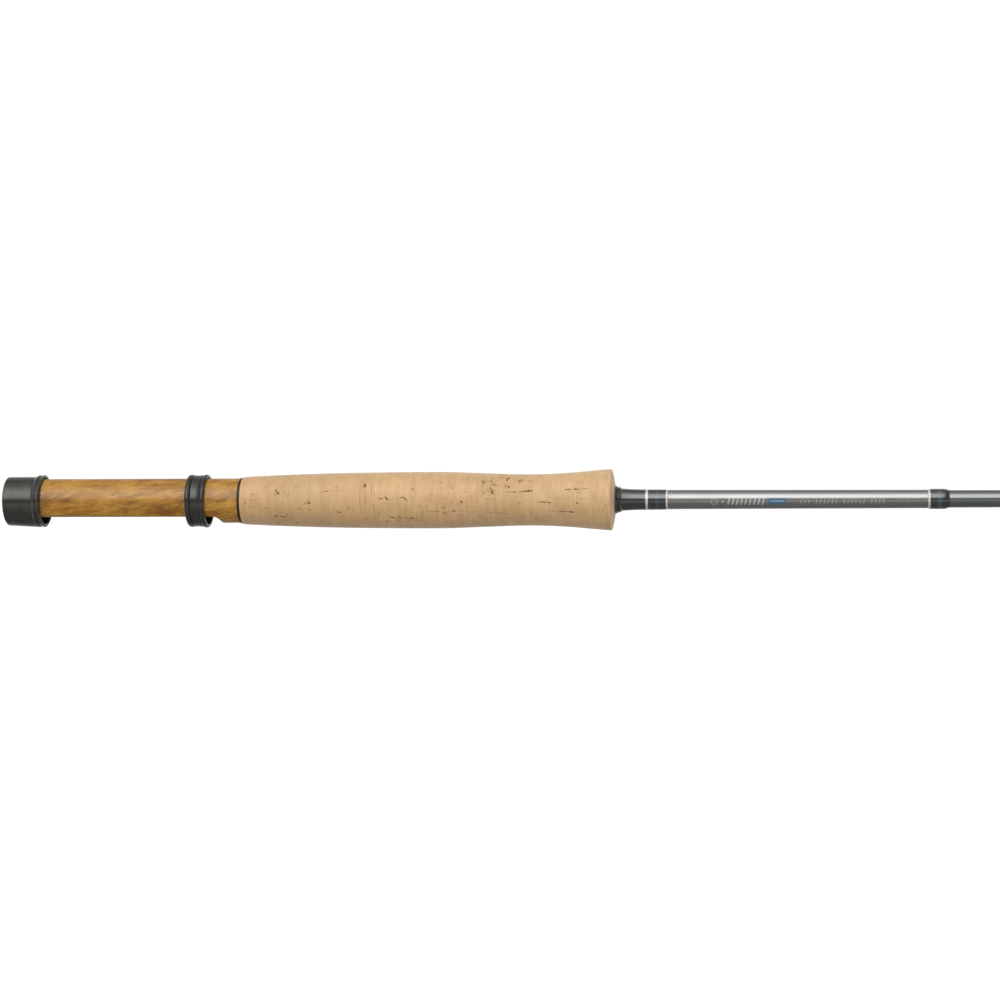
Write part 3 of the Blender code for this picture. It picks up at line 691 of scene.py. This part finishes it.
# ---- cork grip
# Marks in the cork: (x, degrees above the level front, length along the rod, width round it, depth, slant).
MARKS = (
    (100.5, -16.9, 3.9, 0.4, 0.12, 0), (109.0, -17.4, 2.9, 0.48, 0.22, 0),
    (112.4, 23.4, 1.0, 1.08, 0.25, 0), (113.2, 17.2, 1.1, 1.4, 0.32, 0),
    (112.2, 13.1, 0.7, 0.66, 0.2, 0), (114.0, 14.1, 0.8, 0.89, 0.2, 0),
    (112.2, -37.5, 1.2, 1.11, 0.4, 0), (115.1, -39.2, 3.2, 0.6, 0.34, -0.15),
    (124.3, -6.1, 1.7, 0.4, 0.28, 1), (125.9, -5.3, 1.2, 1.24, 0.28, 0),
    (126.5, -4.4, 0.6, 0.72, 0.2, 0), (129.0, 17.0, 1.4, 0.36, 0.14, 0.05),
    (131.1, 17.1, 1.3, 0.4, 0.22, -0.17), (133.0, 19.6, 1.7, 0.56, 0.36, 0.1),
    (137.1, 29.3, 5.0, 0.32, 0.12, 0), (137.9, -25.9, 2.3, 0.6, 0.42, -0.21),
    (148.2, 31.9, 1.1, 1.96, 0.34, 0), (142.0, -16.1, 0.9, 0.98, 0.2, 0),
    (154.0, -28.1, 1.8, 0.52, 0.2, -0.17), (154.8, 3.2, 2.2, 0.48, 0.42, -0.05),
    (157.2, 3.1, 1.6, 0.96, 0.62, -0.83), (158.7, 1.0, 1.0, 0.36, 0.2, -0.1),
    (159.2, -38.1, 2.4, 0.72, 0.32, -0.18), (156.6, -49.2, 1.8, 0.64, 0.26, 0.66),
    (161.8, -38.8, 2.0, 0.52, 0.2, -0.05), (164.5, 2.7, 2.3, 0.68, 0.5, -0.79),
    (161.5, 3.8, 3.4, 0.32, 0.12, 0), (168.6, 4.4, 6.6, 0.32, 0.14, 0.03),
    (170.4, -11.6, 1.2, 0.56, 0.26, 0.78), (166.4, -40.3, 6.2, 0.88, 0.16, -0.06),
    (167.3, -39.1, 1.4, 0.8, 0.26, 0), (175.0, -23.7, 6.1, 0.36, 0.2, 0),
    (177.6, -23.4, 1.1, 0.64, 0.3, -0.3), (179.8, -27.3, 1.1, 0.72, 0.26, -0.7),
    (181.1, -29.4, 0.9, 0.56, 0.18, -0.46), (183.0, -6.7, 1.1, 0.64, 0.2, -0.51),
    (187.0, -4.3, 1.3, 0.72, 0.5, -0.59), (186.9, 1.4, 2.9, 0.36, 0.14, 0),
    (184.0, -23.0, 1.8, 0.6, 0.44, -0.12), (186.6, -24.4, 3.8, 0.32, 0.16, -0.04),
    (191.2, -26.3, 6.0, 0.32, 0.2, 0), (204.6, 52.1, 1.1, 2.6, 0.26, 0),
    (205.3, 56.8, 0.9, 1.97, 0.22, 0), (204.3, 32.5, 1.0, 1.75, 0.26, 0),
    (205.6, 29.8, 1.0, 1.41, 0.26, 0), (205.9, 17.7, 3.9, 0.36, 0.2, 0.14),
    (208.1, 18.0, 1.6, 0.6, 0.3, 0.19), (212.7, 19.9, 5.9, 0.56, 0.44, 0.09),
    (213.9, 20.5, 3.0, 0.8, 0.4, 0), (209.7, 47.6, 1.2, 2.84, 0.22, 0),
    (211.0, 47.8, 1.8, 0.4, 0.18, 0), (213.8, 48.3, 3.0, 0.44, 0.2, 0.1),
    (198.6, -28.3, 1.2, 0.6, 0.22, -0.85), (201.7, -29.7, 1.2, 0.52, 0.2, -0.21),
    (204.3, -33.3, 2.2, 0.52, 0.18, -0.16), (218.0, -4.6, 2.7, 0.4, 0.24, 0),
    (219.8, -5.4, 2.0, 0.56, 0.38, -0.13), (221.7, -6.5, 1.4, 0.72, 0.55, -0.13),
    (227.3, -7.8, 10.6, 0.3, 0.1, 0), (222.8, -25.5, 6.5, 0.32, 0.14, 0),
    (226.7, -25.7, 4.9, 0.44, 0.26, 0), (230.3, -26.3, 4.3, 0.6, 0.44, 0),
    (234.4, -26.1, 3.8, 0.32, 0.12, 0.09), (229.1, 22.2, 3.4, 0.44, 0.3, 0),
    (231.8, 22.2, 3.1, 0.76, 0.75, 0), (235.4, 22.8, 4.9, 0.36, 0.2, 0),
    (233.2, 14.7, 2.3, 0.44, 0.16, 0.05), (115.1, 40.1, 0.34, 5.6, 0.16, 0),
    (146.5, 2.5, 0.34, 17.2, 0.18, 0), (147.7, 27.1, 0.34, 10.2, 0.12, 0),
    (148.8, -7.0, 0.34, 14.6, 0.16, 0), (151.0, 25.3, 0.34, 7.1, 0.18, 0),
    (151.9, -10.2, 0.34, 7.4, 0.16, 0), (152.3, -31.9, 0.34, 6.2, 0.12, 0),
    (232.4, -6.5, 0.34, 7.2, 0.16, 0), (203.7, -21.3, 0.34, 10.1, 0.14, 0),
    (209.7, -4.5, 0.34, 4.0, 0.14, 0), (173.2, 0.0, 0.34, 4.8, 0.12, 0),
)
# Patches of small pits: (x from, x to, degrees from, degrees to, count, depth).
PIT_PATCHES = (
    (194.5, 200.6, 9.0, 50.0, 46, 0.30),
    (200.0, 206.0, 24.0, 60.0, 16, 0.22),
    (110.5, 118.0, -50.0, -30.0, 12, 0.2),
    (160.6, 169.4, -50.0, -34.0, 26, 0.2),
    (197.5, 215.0, -50.0, -28.0, 30, 0.18),
    (240.5, 244.9, 40.0, 80.0, 22, 0.14),
    (242.5, 245.0, -70.0, -5.0, 34, 0.13),
    (100.0, 108.0, -28.0, -10.0, 8, 0.12),
)
RANDOM_PITS = 9  # more of them for each 10 mm of grip, all round
RANDOM_CRACKS = 1.2
# Each ring's tone, butt end first, as a factor on the cork's colour.
RING_TONES = (
    (1.04, 1.00, 0.98),
    (0.94, 0.93, 0.90),
    (0.96, 0.97, 0.97),
    (1.02, 1.00, 1.00),
    (1.03, 1.05, 1.08),
    (1.04, 1.03, 1.08),
    (1.03, 1.01, 1.06),
    (0.99, 1.00, 1.02),
    (1.01, 1.02, 1.04),
    (1.05, 1.07, 1.16),
    (1.06, 1.09, 1.14),
)


def all_marks():
    """Every pit and crack of the grip as (x, angle, half length, half width, depth, slant)."""
    rng = np.random.default_rng(41)
    marks = [
        (x, math.radians(up - 90.0), length / 2, width / 2, depth, slant)
        for x, up, length, width, depth, slant in MARKS
    ]
    for x0, x1, low, high, count, depth in PIT_PATCHES:
        for _ in range(count):
            size = rng.uniform(0.14, 0.30)
            angle = math.radians(rng.uniform(low, high) - 90.0)
            x, stretch, slant = rng.uniform(x0, x1), rng.uniform(0.8, 2.0), rng.uniform(-0.6, 0.6)
            marks.append((x, angle, size * stretch, size, depth, slant))
    start, end = span(CORK_NODES[0])[0], span(CORK_NODES[-1])[1]
    tens = (end - start) / 10.0
    for _ in range(int(RANDOM_PITS * tens)):
        size, angle = rng.uniform(0.12, 0.30), rng.uniform(-math.pi, math.pi)
        x, stretch, slant = rng.uniform(start, end), rng.uniform(0.8, 3.0), rng.uniform(-0.5, 0.5)
        marks.append((x, angle, size * stretch, size, 0.3, slant))
    for _ in range(int(RANDOM_CRACKS * tens)):
        # Only at the back: the cracks listed above already fill the front.
        length, angle = rng.uniform(0.8, 4.0), rng.uniform(0.15, math.pi - 0.15)
        x, width, slant = rng.uniform(start, end), rng.uniform(0.12, 0.24), rng.uniform(-0.06, 0.06)
        marks.append((x, angle, length, width, 0.45, slant))
    return marks


CORK_MARKS = all_marks()


def cork_outline(node, first, last):
    """(x, r) of one ring's section, finely divided outside, and a flag for the points that carry pits."""
    x0, x1 = span(node)
    if last:
        xs = np.arange(x0 + CORK_EASE, GRIP_RIM_X - 0.1, CORK_GRID)
        swell = RIM_SWELL * smoothstep(BARREL_END_X - 0.7, BARREL_END_X + 0.5, xs)
        rim_r, hub_r = float(grip_r(BARREL_END_X)) + RIM_SWELL, blank_r(x1) + 1.2
        face_x, share = np.array(GRIP_FACE).T
        steps = np.linspace(0.0, 1.0, 40)
        face = zip(curve_through(share, face_x)(steps), rim_r + (hub_r - rim_r) * steps)
        outside = [*zip(xs, grip_r(xs) + swell), *face]
        tail = [(x1, blank_r(x1) + 0.15)]
    else:
        x1 += CORK_GAP - GLUE_LINE
        xs = np.arange(x0 + CORK_EASE, x1 - CORK_EASE, CORK_GRID)
        outside = list(zip(xs, grip_r(xs)))
        tail = [(x1, outside[-1][1] - CORK_EASE), (x1, blank_r(x1) + 0.15)]
    if first:
        start_r, size = outside[0][1], BUTT_ROUNDING
        turns = np.linspace(0.0, math.pi / 2, 5)[:-1]
        bend = [(x0 + size * (1 - math.cos(t)), start_r - size * (1 - math.sin(t))) for t in turns]
        outside = bend + [point for point in outside if point[0] > x0 + size]
    points = [(x0, outside[0][1] - CORK_EASE), *outside, *tail, (x0, blank_r(x0) + 0.15)]
    carries = [0.0] + [1.0] * len(outside) + [0.0] * (len(tail) + 1)
    return np.array(points), np.array(carries)


def make_cork_ring(number, node):
    """One cork ring with real pits and cracks sunk into its surface."""
    points, carries = cork_outline(node, number == 0, number == len(CORK_NODES) - 1)
    along, radii = points.T
    sides = int(2 * math.pi * radii.max() / CORK_GRID)
    angles = angles_round(sides)
    rng = np.random.default_rng(100 + number)
    rough = rng.uniform(0.0, 1.0, (len(along), sides))
    pit, sink = np.zeros(rough.shape), np.zeros(rough.shape)
    for x, angle, half_length, half_width, depth, slant in CORK_MARKS:
        if not along[0] - 1.0 < x < along.max() + 0.2:
            continue
        du = along[:, None] - x
        dv = (np.mod(angles - angle + math.pi, 2 * math.pi) - math.pi) * radii[:, None] - slant * du
        wave = half_width * (0.16 * np.sin(du * 5.1 + x) + 0.12 * np.sin(du * 11.7 + 2 * x))
        reach = half_width * (1.0 - 0.25 * np.sin(du * 3.3 + x))
        here = 1.0 - smoothstep(0.55, 1.25, np.hypot(du / half_length, (dv + wave) / reach))
        pit = np.maximum(pit, here * min(1.0, depth / 0.32) * (0.8 + 0.2 * rough))
        sink = np.maximum(sink, here * depth * 0.5)
    flags = carries[:, None]
    sink = (sink + 0.012 * rough) * flags
    slope_x, slope_r = np.gradient(along), np.gradient(radii)
    length = np.hypot(slope_x, slope_r) + 1e-9
    xs = along[:, None] + sink * (slope_r / length)[:, None]
    rs = radii[:, None] - sink * (slope_x / length)[:, None]
    mesh = rows_to_mesh(f"{node}_fine", xs, rs, angles)

    def carry(name, kind, field, values):
        layer = mesh.attributes.new(name, kind, "POINT")
        layer.data.foreach_set(field, values.ravel().astype(np.float32))

    count = len(mesh.vertices)
    carry("pit", "FLOAT", "value", pit * flags)
    carry("tone", "FLOAT_COLOR", "color", np.tile([*RING_TONES[number], 1.0], count))
    carry("shift", "FLOAT_VECTOR", "vector", np.tile(rng.uniform(-90.0, 90.0, 3), count))
    piece(mesh, "cork", "cork", node, sharp=math.radians(70))


def make_winding_check():
    """A stepped collar with a fine bead between two cones."""
    x0, x1 = span("winding_check")
    base, bore = outer_radius("winding_check"), blank_r(x0) + 0.07
    outline = [
        (x0, base - 0.12),
        (x0 + 0.12, base),
        (x0 + 0.8, base - 0.24),
        (x0 + 1.0, base - 0.66),
        (x0 + 1.12, base - 0.7),
        *bead(x0 + 1.15, x0 + 1.7, base - 0.7, base - 0.36, 8),
        (x0 + 1.78, base - 0.8),
        *bead(x0 + 1.85, x0 + 2.25, base - 0.84, base - 0.6, 6),
        (x1 - 0.1, base - 1.02),
        (x1, base - 1.12),
        (x1, bore),
        (x0, bore),
    ]
    turned_piece("winding_check_fine", outline, "check", "check", "winding_check", ease=0.06)


# ---- thread and lacquer
def kind_of(node):
    """(look, slot) of a thread node, from its name."""
    is_silver = "silver" in node or "trim_front" in node or "trim_rear" in node
    colour = "silver" if is_silver else "blue" if "blue" in node else "black"
    return colour, f"{colour}_thread"


def thread_sleeve(node, radius, x0, x1, shoulders):
    """A wound band: its surface follows radius(x, angle) with a fine ridge for each turn of thread.

    shoulders are the lengths over which its two ends sink to the blank.
    """
    xs = np.linspace(x0, x1, max(6, int((x1 - x0) / THREAD_PITCH * 4)) + 1)
    angles = angles_round(THREAD_SEGMENTS)
    inner = np.repeat(blank_r(xs)[:, None] + FINISH, THREAD_SEGMENTS, axis=1)
    ridge = THREAD_RELIEF * np.cos(2 * math.pi * xs[:, None] / THREAD_PITCH + angles)
    fade = np.ones_like(xs)
    if shoulders[0]:
        fade *= np.sqrt(smoothstep(x0 - 0.02, x0 + shoulders[0], xs))
    if shoulders[1]:
        fade *= (1.0 - smoothstep(x1 - shoulders[1], x1 + 0.02, xs)) ** 0.65
    skin = inner + (radius(xs[:, None], angles) - inner + ridge) * fade[:, None]
    rs = np.concatenate([np.maximum(skin, inner + 0.015), inner[[-1, 0]]])
    piece(rows_to_mesh(f"{node}_wound", [*xs, x1, x0], rs, angles), *kind_of(node), node)


def make_bands(nodes, shoulders):
    """Neighbouring bands under one coat of epoxy. shoulders ease its two outer ends."""
    outer = curve_through(*outer_profile(*nodes))
    edges = [span(node)[0] for node in nodes] + [span(nodes[-1])[1]]

    def radius(x, _):
        return outer(x) + FINISH

    for i, node in enumerate(nodes):
        ends = (shoulders[0] if i == 0 else 0.0, shoulders[1] if i == len(nodes) - 1 else 0.0)
        thread_sleeve(node, radius, edges[i], edges[i + 1], ends)


def make_lacquer():
    """The lacquered zone, whose ends run up onto the neighbouring wraps' epoxy. Returns its radius at x."""
    x0, x1 = span("lacquered_sleeve")
    xs = np.linspace(x0, x1, 41)
    rise = 0.06 * (1 - smoothstep(x0, x0 + 2.2, xs)) + 0.05 * smoothstep(x1 - 2.0, x1, xs)
    outline_r = blank_r(xs) + LACQUER_BUILD + rise
    radii = [*outline_r, blank_r(x1) + 0.02, blank_r(x0) + 0.02]
    mesh = rows_to_mesh("lacquered_sleeve_fine", [*xs, x1, x0], radii, angles_round(FINE))
    piece(mesh, "lacquer", "gunmetal_lacquer", "lacquered_sleeve")
    return lambda x: float(np.interp(x, xs, outline_r))


def strokes_mesh(name, strokes, surface_r):
    """Printed strokes on the lacquer as thin closed skins. A stroke is (x, up, x, up, width) in mm.

    up is measured round the surface from the level front.
    """
    raised, depth = 0.014, 0.03
    points, faces = [], []

    def place(x, up, layer):
        r = surface_r(x) + layer
        angle = up / surface_r(x) - math.pi / 2
        points.append((x * MM, r * math.sin(angle) * MM, r * math.cos(angle) * MM))

    for xa, ua, xb, ub, width in strokes:
        length = math.hypot(xb - xa, ub - ua)
        across_x, across_u = -(ub - ua) / length * width / 2, (xb - xa) / length * width / 2
        steps = max(2, int(length / 0.25))
        lanes = max(2, int(width / 0.25) + 1)
        first, count = len(points), (steps + 1) * lanes
        for layer in (raised, raised - depth):
            for i in range(steps + 1):
                for k in range(lanes):
                    t, side = i / steps, 2 * k / (lanes - 1) - 1
                    place(xa + (xb - xa) * t + across_x * side, ua + (ub - ua) * t + across_u * side, layer)
        for i in range(steps):
            for k in range(lanes - 1):
                a = first + i * lanes + k
                b, c, d = a + lanes, a + lanes + 1, a + 1
                faces += [(a, b, c, d), (count + d, count + c, count + b, count + a)]
        loop = [i * lanes for i in range(steps + 1)] + [steps * lanes + k for k in range(1, lanes)]
        loop += [i * lanes + lanes - 1 for i in reversed(range(steps))] + list(range(lanes - 2, 0, -1))
        for a, b in zip(loop, loop[1:] + loop[:1]):
            faces.append((first + b, first + a, first + a + count, first + b + count))
    mesh = bpy.data.meshes.new(name)
    mesh.from_pydata(points, [], faces)
    return mesh


def make_decals(surface_r):
    """Generic graphics: a ring, a dot and plain slanted strokes, a blue bar, and a row of ticks."""
    centre, half = DECAL_UP, DECAL_HEIGHT / 2
    turns = [2 * math.pi * k / EMBLEM_SIDES for k in range(EMBLEM_SIDES + 1)]
    ring = [(EMBLEM_X + EMBLEM_R * math.cos(t), centre + EMBLEM_R * math.sin(t)) for t in turns]
    emblem = [(*a, *b, 0.22) for a, b in zip(ring[:-1], ring[1:])]
    emblem.append((DOT_X[0], centre, DOT_X[1], centre, 0.7))
    for i in range(SLANTS):
        x = SLANTS_X + SLANTS_STEP * i
        emblem.append((x - 0.35, centre - half, x + 0.35, centre + half, 0.62))
    piece(strokes_mesh("decal_emblem", emblem, surface_r), "paint_light", "silver_thread")
    starts = [TICKS_X + TICKS_STEP * i for i in range(TICKS) if i % 7 != 3]
    ticks = [(x, centre - 0.8, x + 0.3, centre + 0.8, 0.42) for x in starts]
    piece(strokes_mesh("decal_ticks", ticks, surface_r), "paint_faint", "silver_thread")
    bar = [(BAR_X[0], centre, BAR_X[1], centre, DECAL_HEIGHT + 0.1)]
    piece(strokes_mesh("decal_bar", bar, surface_r), "paint_blue", "blue_thread")
    core = [(BAR_X[0] + 0.8, centre + 0.1, BAR_X[1] - 0.8, centre + 0.1, 0.7)]
    core_mesh = strokes_mesh("decal_bar_core", core, lambda x: surface_r(x) + 0.01)
    piece(core_mesh, "paint_pale_blue", "blue_thread")


def make_blank():
    """The tapered tube, with a softly broken edge at the ferrule's mouth."""
    x0, x1 = span("blank")
    xs = np.concatenate([np.linspace(x0, x1 - 0.15, 80), [x1 - 0.05, x1]])
    broken = np.concatenate([np.zeros(80), [0.05, 0.14]])
    bores = [blank_r(x1) - BLANK_WALLS[1], blank_r(x0) - BLANK_WALLS[0]]
    radii = [*(blank_r(xs) + FINISH - broken), *bores]
    piece(rows_to_mesh("blank_fine", [*xs, x1, x0], radii, angles_round(96)), "blank", "graphite", "blank")


# ---- ferrule
def make_spigot():
    """The tapered pin with its tip rounded over."""
    x0, x1 = span("ferrule_spigot")
    r0, r1 = SPIGOT_R
    body = [(x, r0 + (r1 - r0) * (x - x0) / (x1 - x0)) for x in np.linspace(x0, x1 - 0.5, 40)]
    turns = np.linspace(0, math.pi / 2, 8)[1:]
    tip = [(x1 - 0.5 * (1 - math.sin(t)), r1 - 0.5 * (1 - math.cos(t))) for t in turns]
    xs, rs = zip((x0, 0.0), (x0, r0 - 0.05), *body, *tip, (x1, 0.0))
    mesh = rows_to_mesh("ferrule_spigot_fine", xs, rs, angles_round(72), closed=False)
    piece(mesh, "spigot", "graphite", "ferrule_spigot")


# ---- stripping guide
GUIDE_LOW, GUIDE_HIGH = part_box("guide_ring")
GUIDE_X, GUIDE_Z = ((GUIDE_LOW[i] + GUIDE_HIGH[i]) / 2 / MM for i in (0, 2))
CERAMIC_R = (GUIDE_HIGH[1] - GUIDE_LOW[1]) / 2 / MM
BEZEL_R = CERAMIC_R + 0.32  # the middle of the bezel's section
BEZEL_HALF = (0.78, 0.27)  # half its length along the rod, half its thickness
FOOT_Z = -3.3
FOOT_X = (8.0, 16.0)  # heel and toe, from the guide's middle
TUBE_SIDES = 20


def tube_along(points, radii, flatten):
    """(points, faces) of a closed bar along a smooth path. flatten squeezes it in Z."""
    path = [Vector(p) for p in points]
    found, faces = [], []
    for i, here in enumerate(path):
        ahead = (path[min(i + 1, len(path) - 1)] - path[max(i - 1, 0)]).normalized()
        side = ahead.cross(Vector((0, 0, 1))).normalized()
        up = side.cross(ahead).normalized()
        for a in angles_round(TUBE_SIDES):
            found.append(here + (side * math.cos(a) + up * math.sin(a) * flatten) * radii[i])
    for i in range(len(path) - 1):
        this, after = i * TUBE_SIDES, (i + 1) * TUBE_SIDES
        for k in range(TUBE_SIDES):
            n = (k + 1) % TUBE_SIDES
            faces.append((this + k, after + k, after + n, this + n))
    faces.append(range(TUBE_SIDES))
    faces.append([len(found) - 1 - k for k in range(TUBE_SIDES)])
    return found, faces


def bezier(a, b, c, d):
    t = np.linspace(0, 1, 18)[:, None]
    a, b, c, d = (np.array(p, float) for p in (a, b, c, d))
    return a * (1 - t) ** 3 + 3 * b * t * (1 - t) ** 2 + 3 * c * t**2 * (1 - t) + d * t**3


def make_guide_frame():
    """Bezel, four legs and two feet, blended where they join as a brazed frame is."""
    turn = angles_round(TUBE_SIDES)
    along, radii = BEZEL_HALF[0] * np.cos(turn), BEZEL_R + BEZEL_HALF[1] * np.sin(turn)
    mesh = rows_to_mesh("guide_frame_parts", along, radii, angles_round(96), centre=(GUIDE_X, 0.0, GUIDE_Z))
    bm = bmesh.new()
    bm.from_mesh(mesh)

    def add(points, faces):
        verts = [bm.verts.new(Vector(p) * MM) for p in points]
        for face in faces:
            bm.faces.new([verts[k] for k in face])

    # The front legs leave the bezel lower down than the rear ones.
    for direction, degrees, dip in ((1.0, 72.0, 0.05), (-1.0, 38.0, 0.0)):
        a, joint_r = math.radians(degrees), BEZEL_R + 0.1
        for side in (-1.0, 1.0):
            top = (GUIDE_X + direction * 0.2, side * joint_r * math.sin(a), GUIDE_Z + joint_r * math.cos(a))
            bow = (GUIDE_X + direction * 3.2, top[1] * 0.92, top[2] * (1 - dip) + 0.5)
            ease = (GUIDE_X + direction * 6.0, side * 0.8, FOOT_Z - 0.15)
            root = (GUIDE_X + direction * 9.2, side * 0.45, FOOT_Z)
            path = bezier(top, bow, ease, root)
            add(*tube_along(path, np.linspace(0.36, 0.40, len(path)), 0.92))
        shares = np.linspace(0, 1, 14)
        reach = FOOT_X[1] - FOOT_X[0]
        foot = [(GUIDE_X + direction * (FOOT_X[0] + reach * t), 0.0, FOOT_Z + 0.06 * t) for t in shares]
        add(*tube_along(foot, 1.05 - 0.35 * shares, 0.24))
    bmesh.ops.recalc_face_normals(bm, faces=bm.faces)
    bm.to_mesh(mesh)
    bm.free()
    source = bpy.data.objects.new("guide_frame_parts", mesh)
    bpy.context.scene.collection.objects.link(source)
    remesh = source.modifiers.new("join", "REMESH")
    remesh.mode, remesh.voxel_size = "VOXEL", 0.085 * MM
    smooth = source.modifiers.new("blend", "SMOOTH")
    smooth.factor, smooth.iterations = 0.5, 6
    graph = bpy.context.evaluated_depsgraph_get()
    joined = bpy.data.meshes.new_from_object(source.evaluated_get(graph), depsgraph=graph)
    bpy.data.objects.remove(source)
    joined.name = "guide_frame_fine"
    piece(joined, "steel", "guide_steel", "guide_frame", sharp=math.radians(80))


def make_guide_ring():
    """A round-edged ceramic ring."""
    turn, tube = angles_round(32), 0.62
    along, radii = -tube * 0.98 * np.cos(turn), CERAMIC_R - tube + tube * np.sin(turn)
    mesh = rows_to_mesh("guide_ring_fine", along, radii, angles_round(120), centre=(GUIDE_X, 0.0, GUIDE_Z))
    piece(mesh, "ceramic", "guide_ceramic", "guide_ring")


def make_foot_wraps():
    """Thread over each foot. It bridges from the foot to the blank and sinks to the blank past the toe."""
    for end, direction in (("front", 1), ("rear", -1)):
        trim, wrap = f"guide_trim_{end}", f"guide_wrap_{end}"
        near = span(trim)[::direction][0]
        seam, far = span(wrap)[::direction]

        def radius(x, angle, near=near, far=far):
            t = np.clip((x - near) / (far - near), 0.0, 1.0)
            over_foot = FOOT_BUILD * (1.0 - smoothstep(0.35, 0.95, t))
            off = np.mod(angle, 2 * math.pi) - math.pi
            return blank_r(x) + FOOT_THREAD + over_foot * np.exp(-((off / 0.75) ** 2))

        thread_sleeve(trim, radius, *sorted((near, seam)), (0.35, 0.0)[::direction])
        thread_sleeve(wrap, radius, *sorted((seam, far)), (0.0, 0.9)[::direction])


# ---- stage
def make_camera():
    data = bpy.data.cameras.new("camera")
    data.sensor_width, data.lens = CAMERA_SENSOR, CAMERA_LENS
    data.clip_start, data.clip_end = 0.01, 50.0
    camera = bpy.data.objects.new("camera", data)
    bpy.context.scene.collection.objects.link(camera)
    camera.location = CAMERA_AT
    aim = (Vector(CAMERA_AIM) - Vector(CAMERA_AT)).to_track_quat("-Z", "Y")
    camera.rotation_mode = "QUATERNION"
    camera.rotation_quaternion = aim @ Quaternion((0, 0, 1), CAMERA_ROLL)
    bpy.context.scene.camera = camera


def make_world():
    """A tall soft box above the camera, a bright table edge below it, side lights and grey surroundings.

    The camera itself sees plain white.
    """
    world = bpy.data.worlds.new("studio")
    bpy.context.scene.world = world
    world.use_nodes = True
    world.node_tree.nodes.clear()
    g = Graph(world.node_tree)
    x, y, z = g.add("SeparateXYZ", {0: g.add("TexCoord").outputs["Generated"]}).outputs
    round_rod = g.maths("DIVIDE", g.maths("ARCTAN2", z, g.maths("MULTIPLY", y, -1.0)), 2 * math.pi)
    turn = g.maths("ADD", round_rod, 0.5)

    def profile(stops):
        return g.ramp(turn, *(((degrees + 180.0) / 360.0, [level / PEAK] * 3) for degrees, level in stops))

    width = g.remap(g.maths("ABSOLUTE", g.maths("SUBTRACT", x, BOX_CENTRE_X)), *BOX_EDGE)
    box = g.maths("MULTIPLY", profile(SOFT_BOX), width)
    side = g.remap(g.maths("ABSOLUTE", x), *SIDE_EDGE, to_high=SIDE_LIGHT)
    level = g.maths("ADD", g.maths("MULTIPLY", g.maths("ADD", box, profile(SURROUNDINGS)), PEAK), side)
    light = g.add("Background", {"Color": (1.0, 0.99, 0.97, 1.0), "Strength": level})
    white = g.add("Background", {"Color": (1, 1, 1, 1), "Strength": BACKDROP})
    seen = g.add("LightPath").outputs["Is Camera Ray"]
    shown = g.add("MixShader", {0: seen, 1: light.outputs[0], 2: white.outputs[0]})
    g.add("OutputWorld", {"Surface": shown.outputs[0]})


def make_floor():
    """A plain pale floor that the rod lies on, all but shadowless in the camera's eye."""
    z = cad_bounds[0][2] - FLOOR_GAP
    corners = [(x * FLOOR_HALF, y * FLOOR_HALF, z) for x, y in ((-1, -1), (1, -1), (1, 1), (-1, 1))]
    mesh = bpy.data.meshes.new("floor")
    mesh.from_pydata(corners, [], [(0, 1, 2, 3)])
    floor = bpy.data.objects.new("floor", mesh)
    bpy.context.scene.collection.objects.link(floor)
    material = bpy.data.materials.new("floor")
    material.use_nodes = True
    material.node_tree.nodes.clear()
    g = Graph(material.node_tree)
    glow = g.add("Emission", {"Strength": FLOOR_GLOW})
    matt = g.add("BsdfDiffuse", {"Color": (FLOOR_BOUNCE, FLOOR_BOUNCE, FLOOR_BOUNCE, 1)})
    lit = g.add("AddShader", {0: glow.outputs[0], 1: matt.outputs[0]})
    clear = g.add("BsdfTransparent")
    seen = g.add("LightPath").outputs["Is Camera Ray"]
    shown = g.add("MixShader", {0: seen, 1: clear.outputs[0], 2: lit.outputs[0]})
    g.add("OutputMaterial", {"Surface": shown.outputs[0]})
    mesh.materials.append(material)


bpy.context.scene.view_settings.view_transform = "Standard"
make_camera()
make_world()
make_floor()

make_butt_cap()
make_slide_ring()
make_seat_insert()
make_seat_check()
for index, cork_node in enumerate(CORK_NODES):
    make_cork_ring(index, cork_node)
make_winding_check()
make_bands(nodes_named("grip_"), (0.0, 0.25))
make_bands(nodes_named("mid_"), (0.5, 1.6))
make_decals(make_lacquer())
make_blank()
make_bands(["ferrule_trim_silver", "ferrule_wrap"], (0.5, 0.9))
make_spigot()
make_guide_frame()
make_guide_ring()
make_foot_wraps()
for bush in nodes_named("seat_arbor_"):
    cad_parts[bush].material_slots[0].material = MATERIALS["foam"]
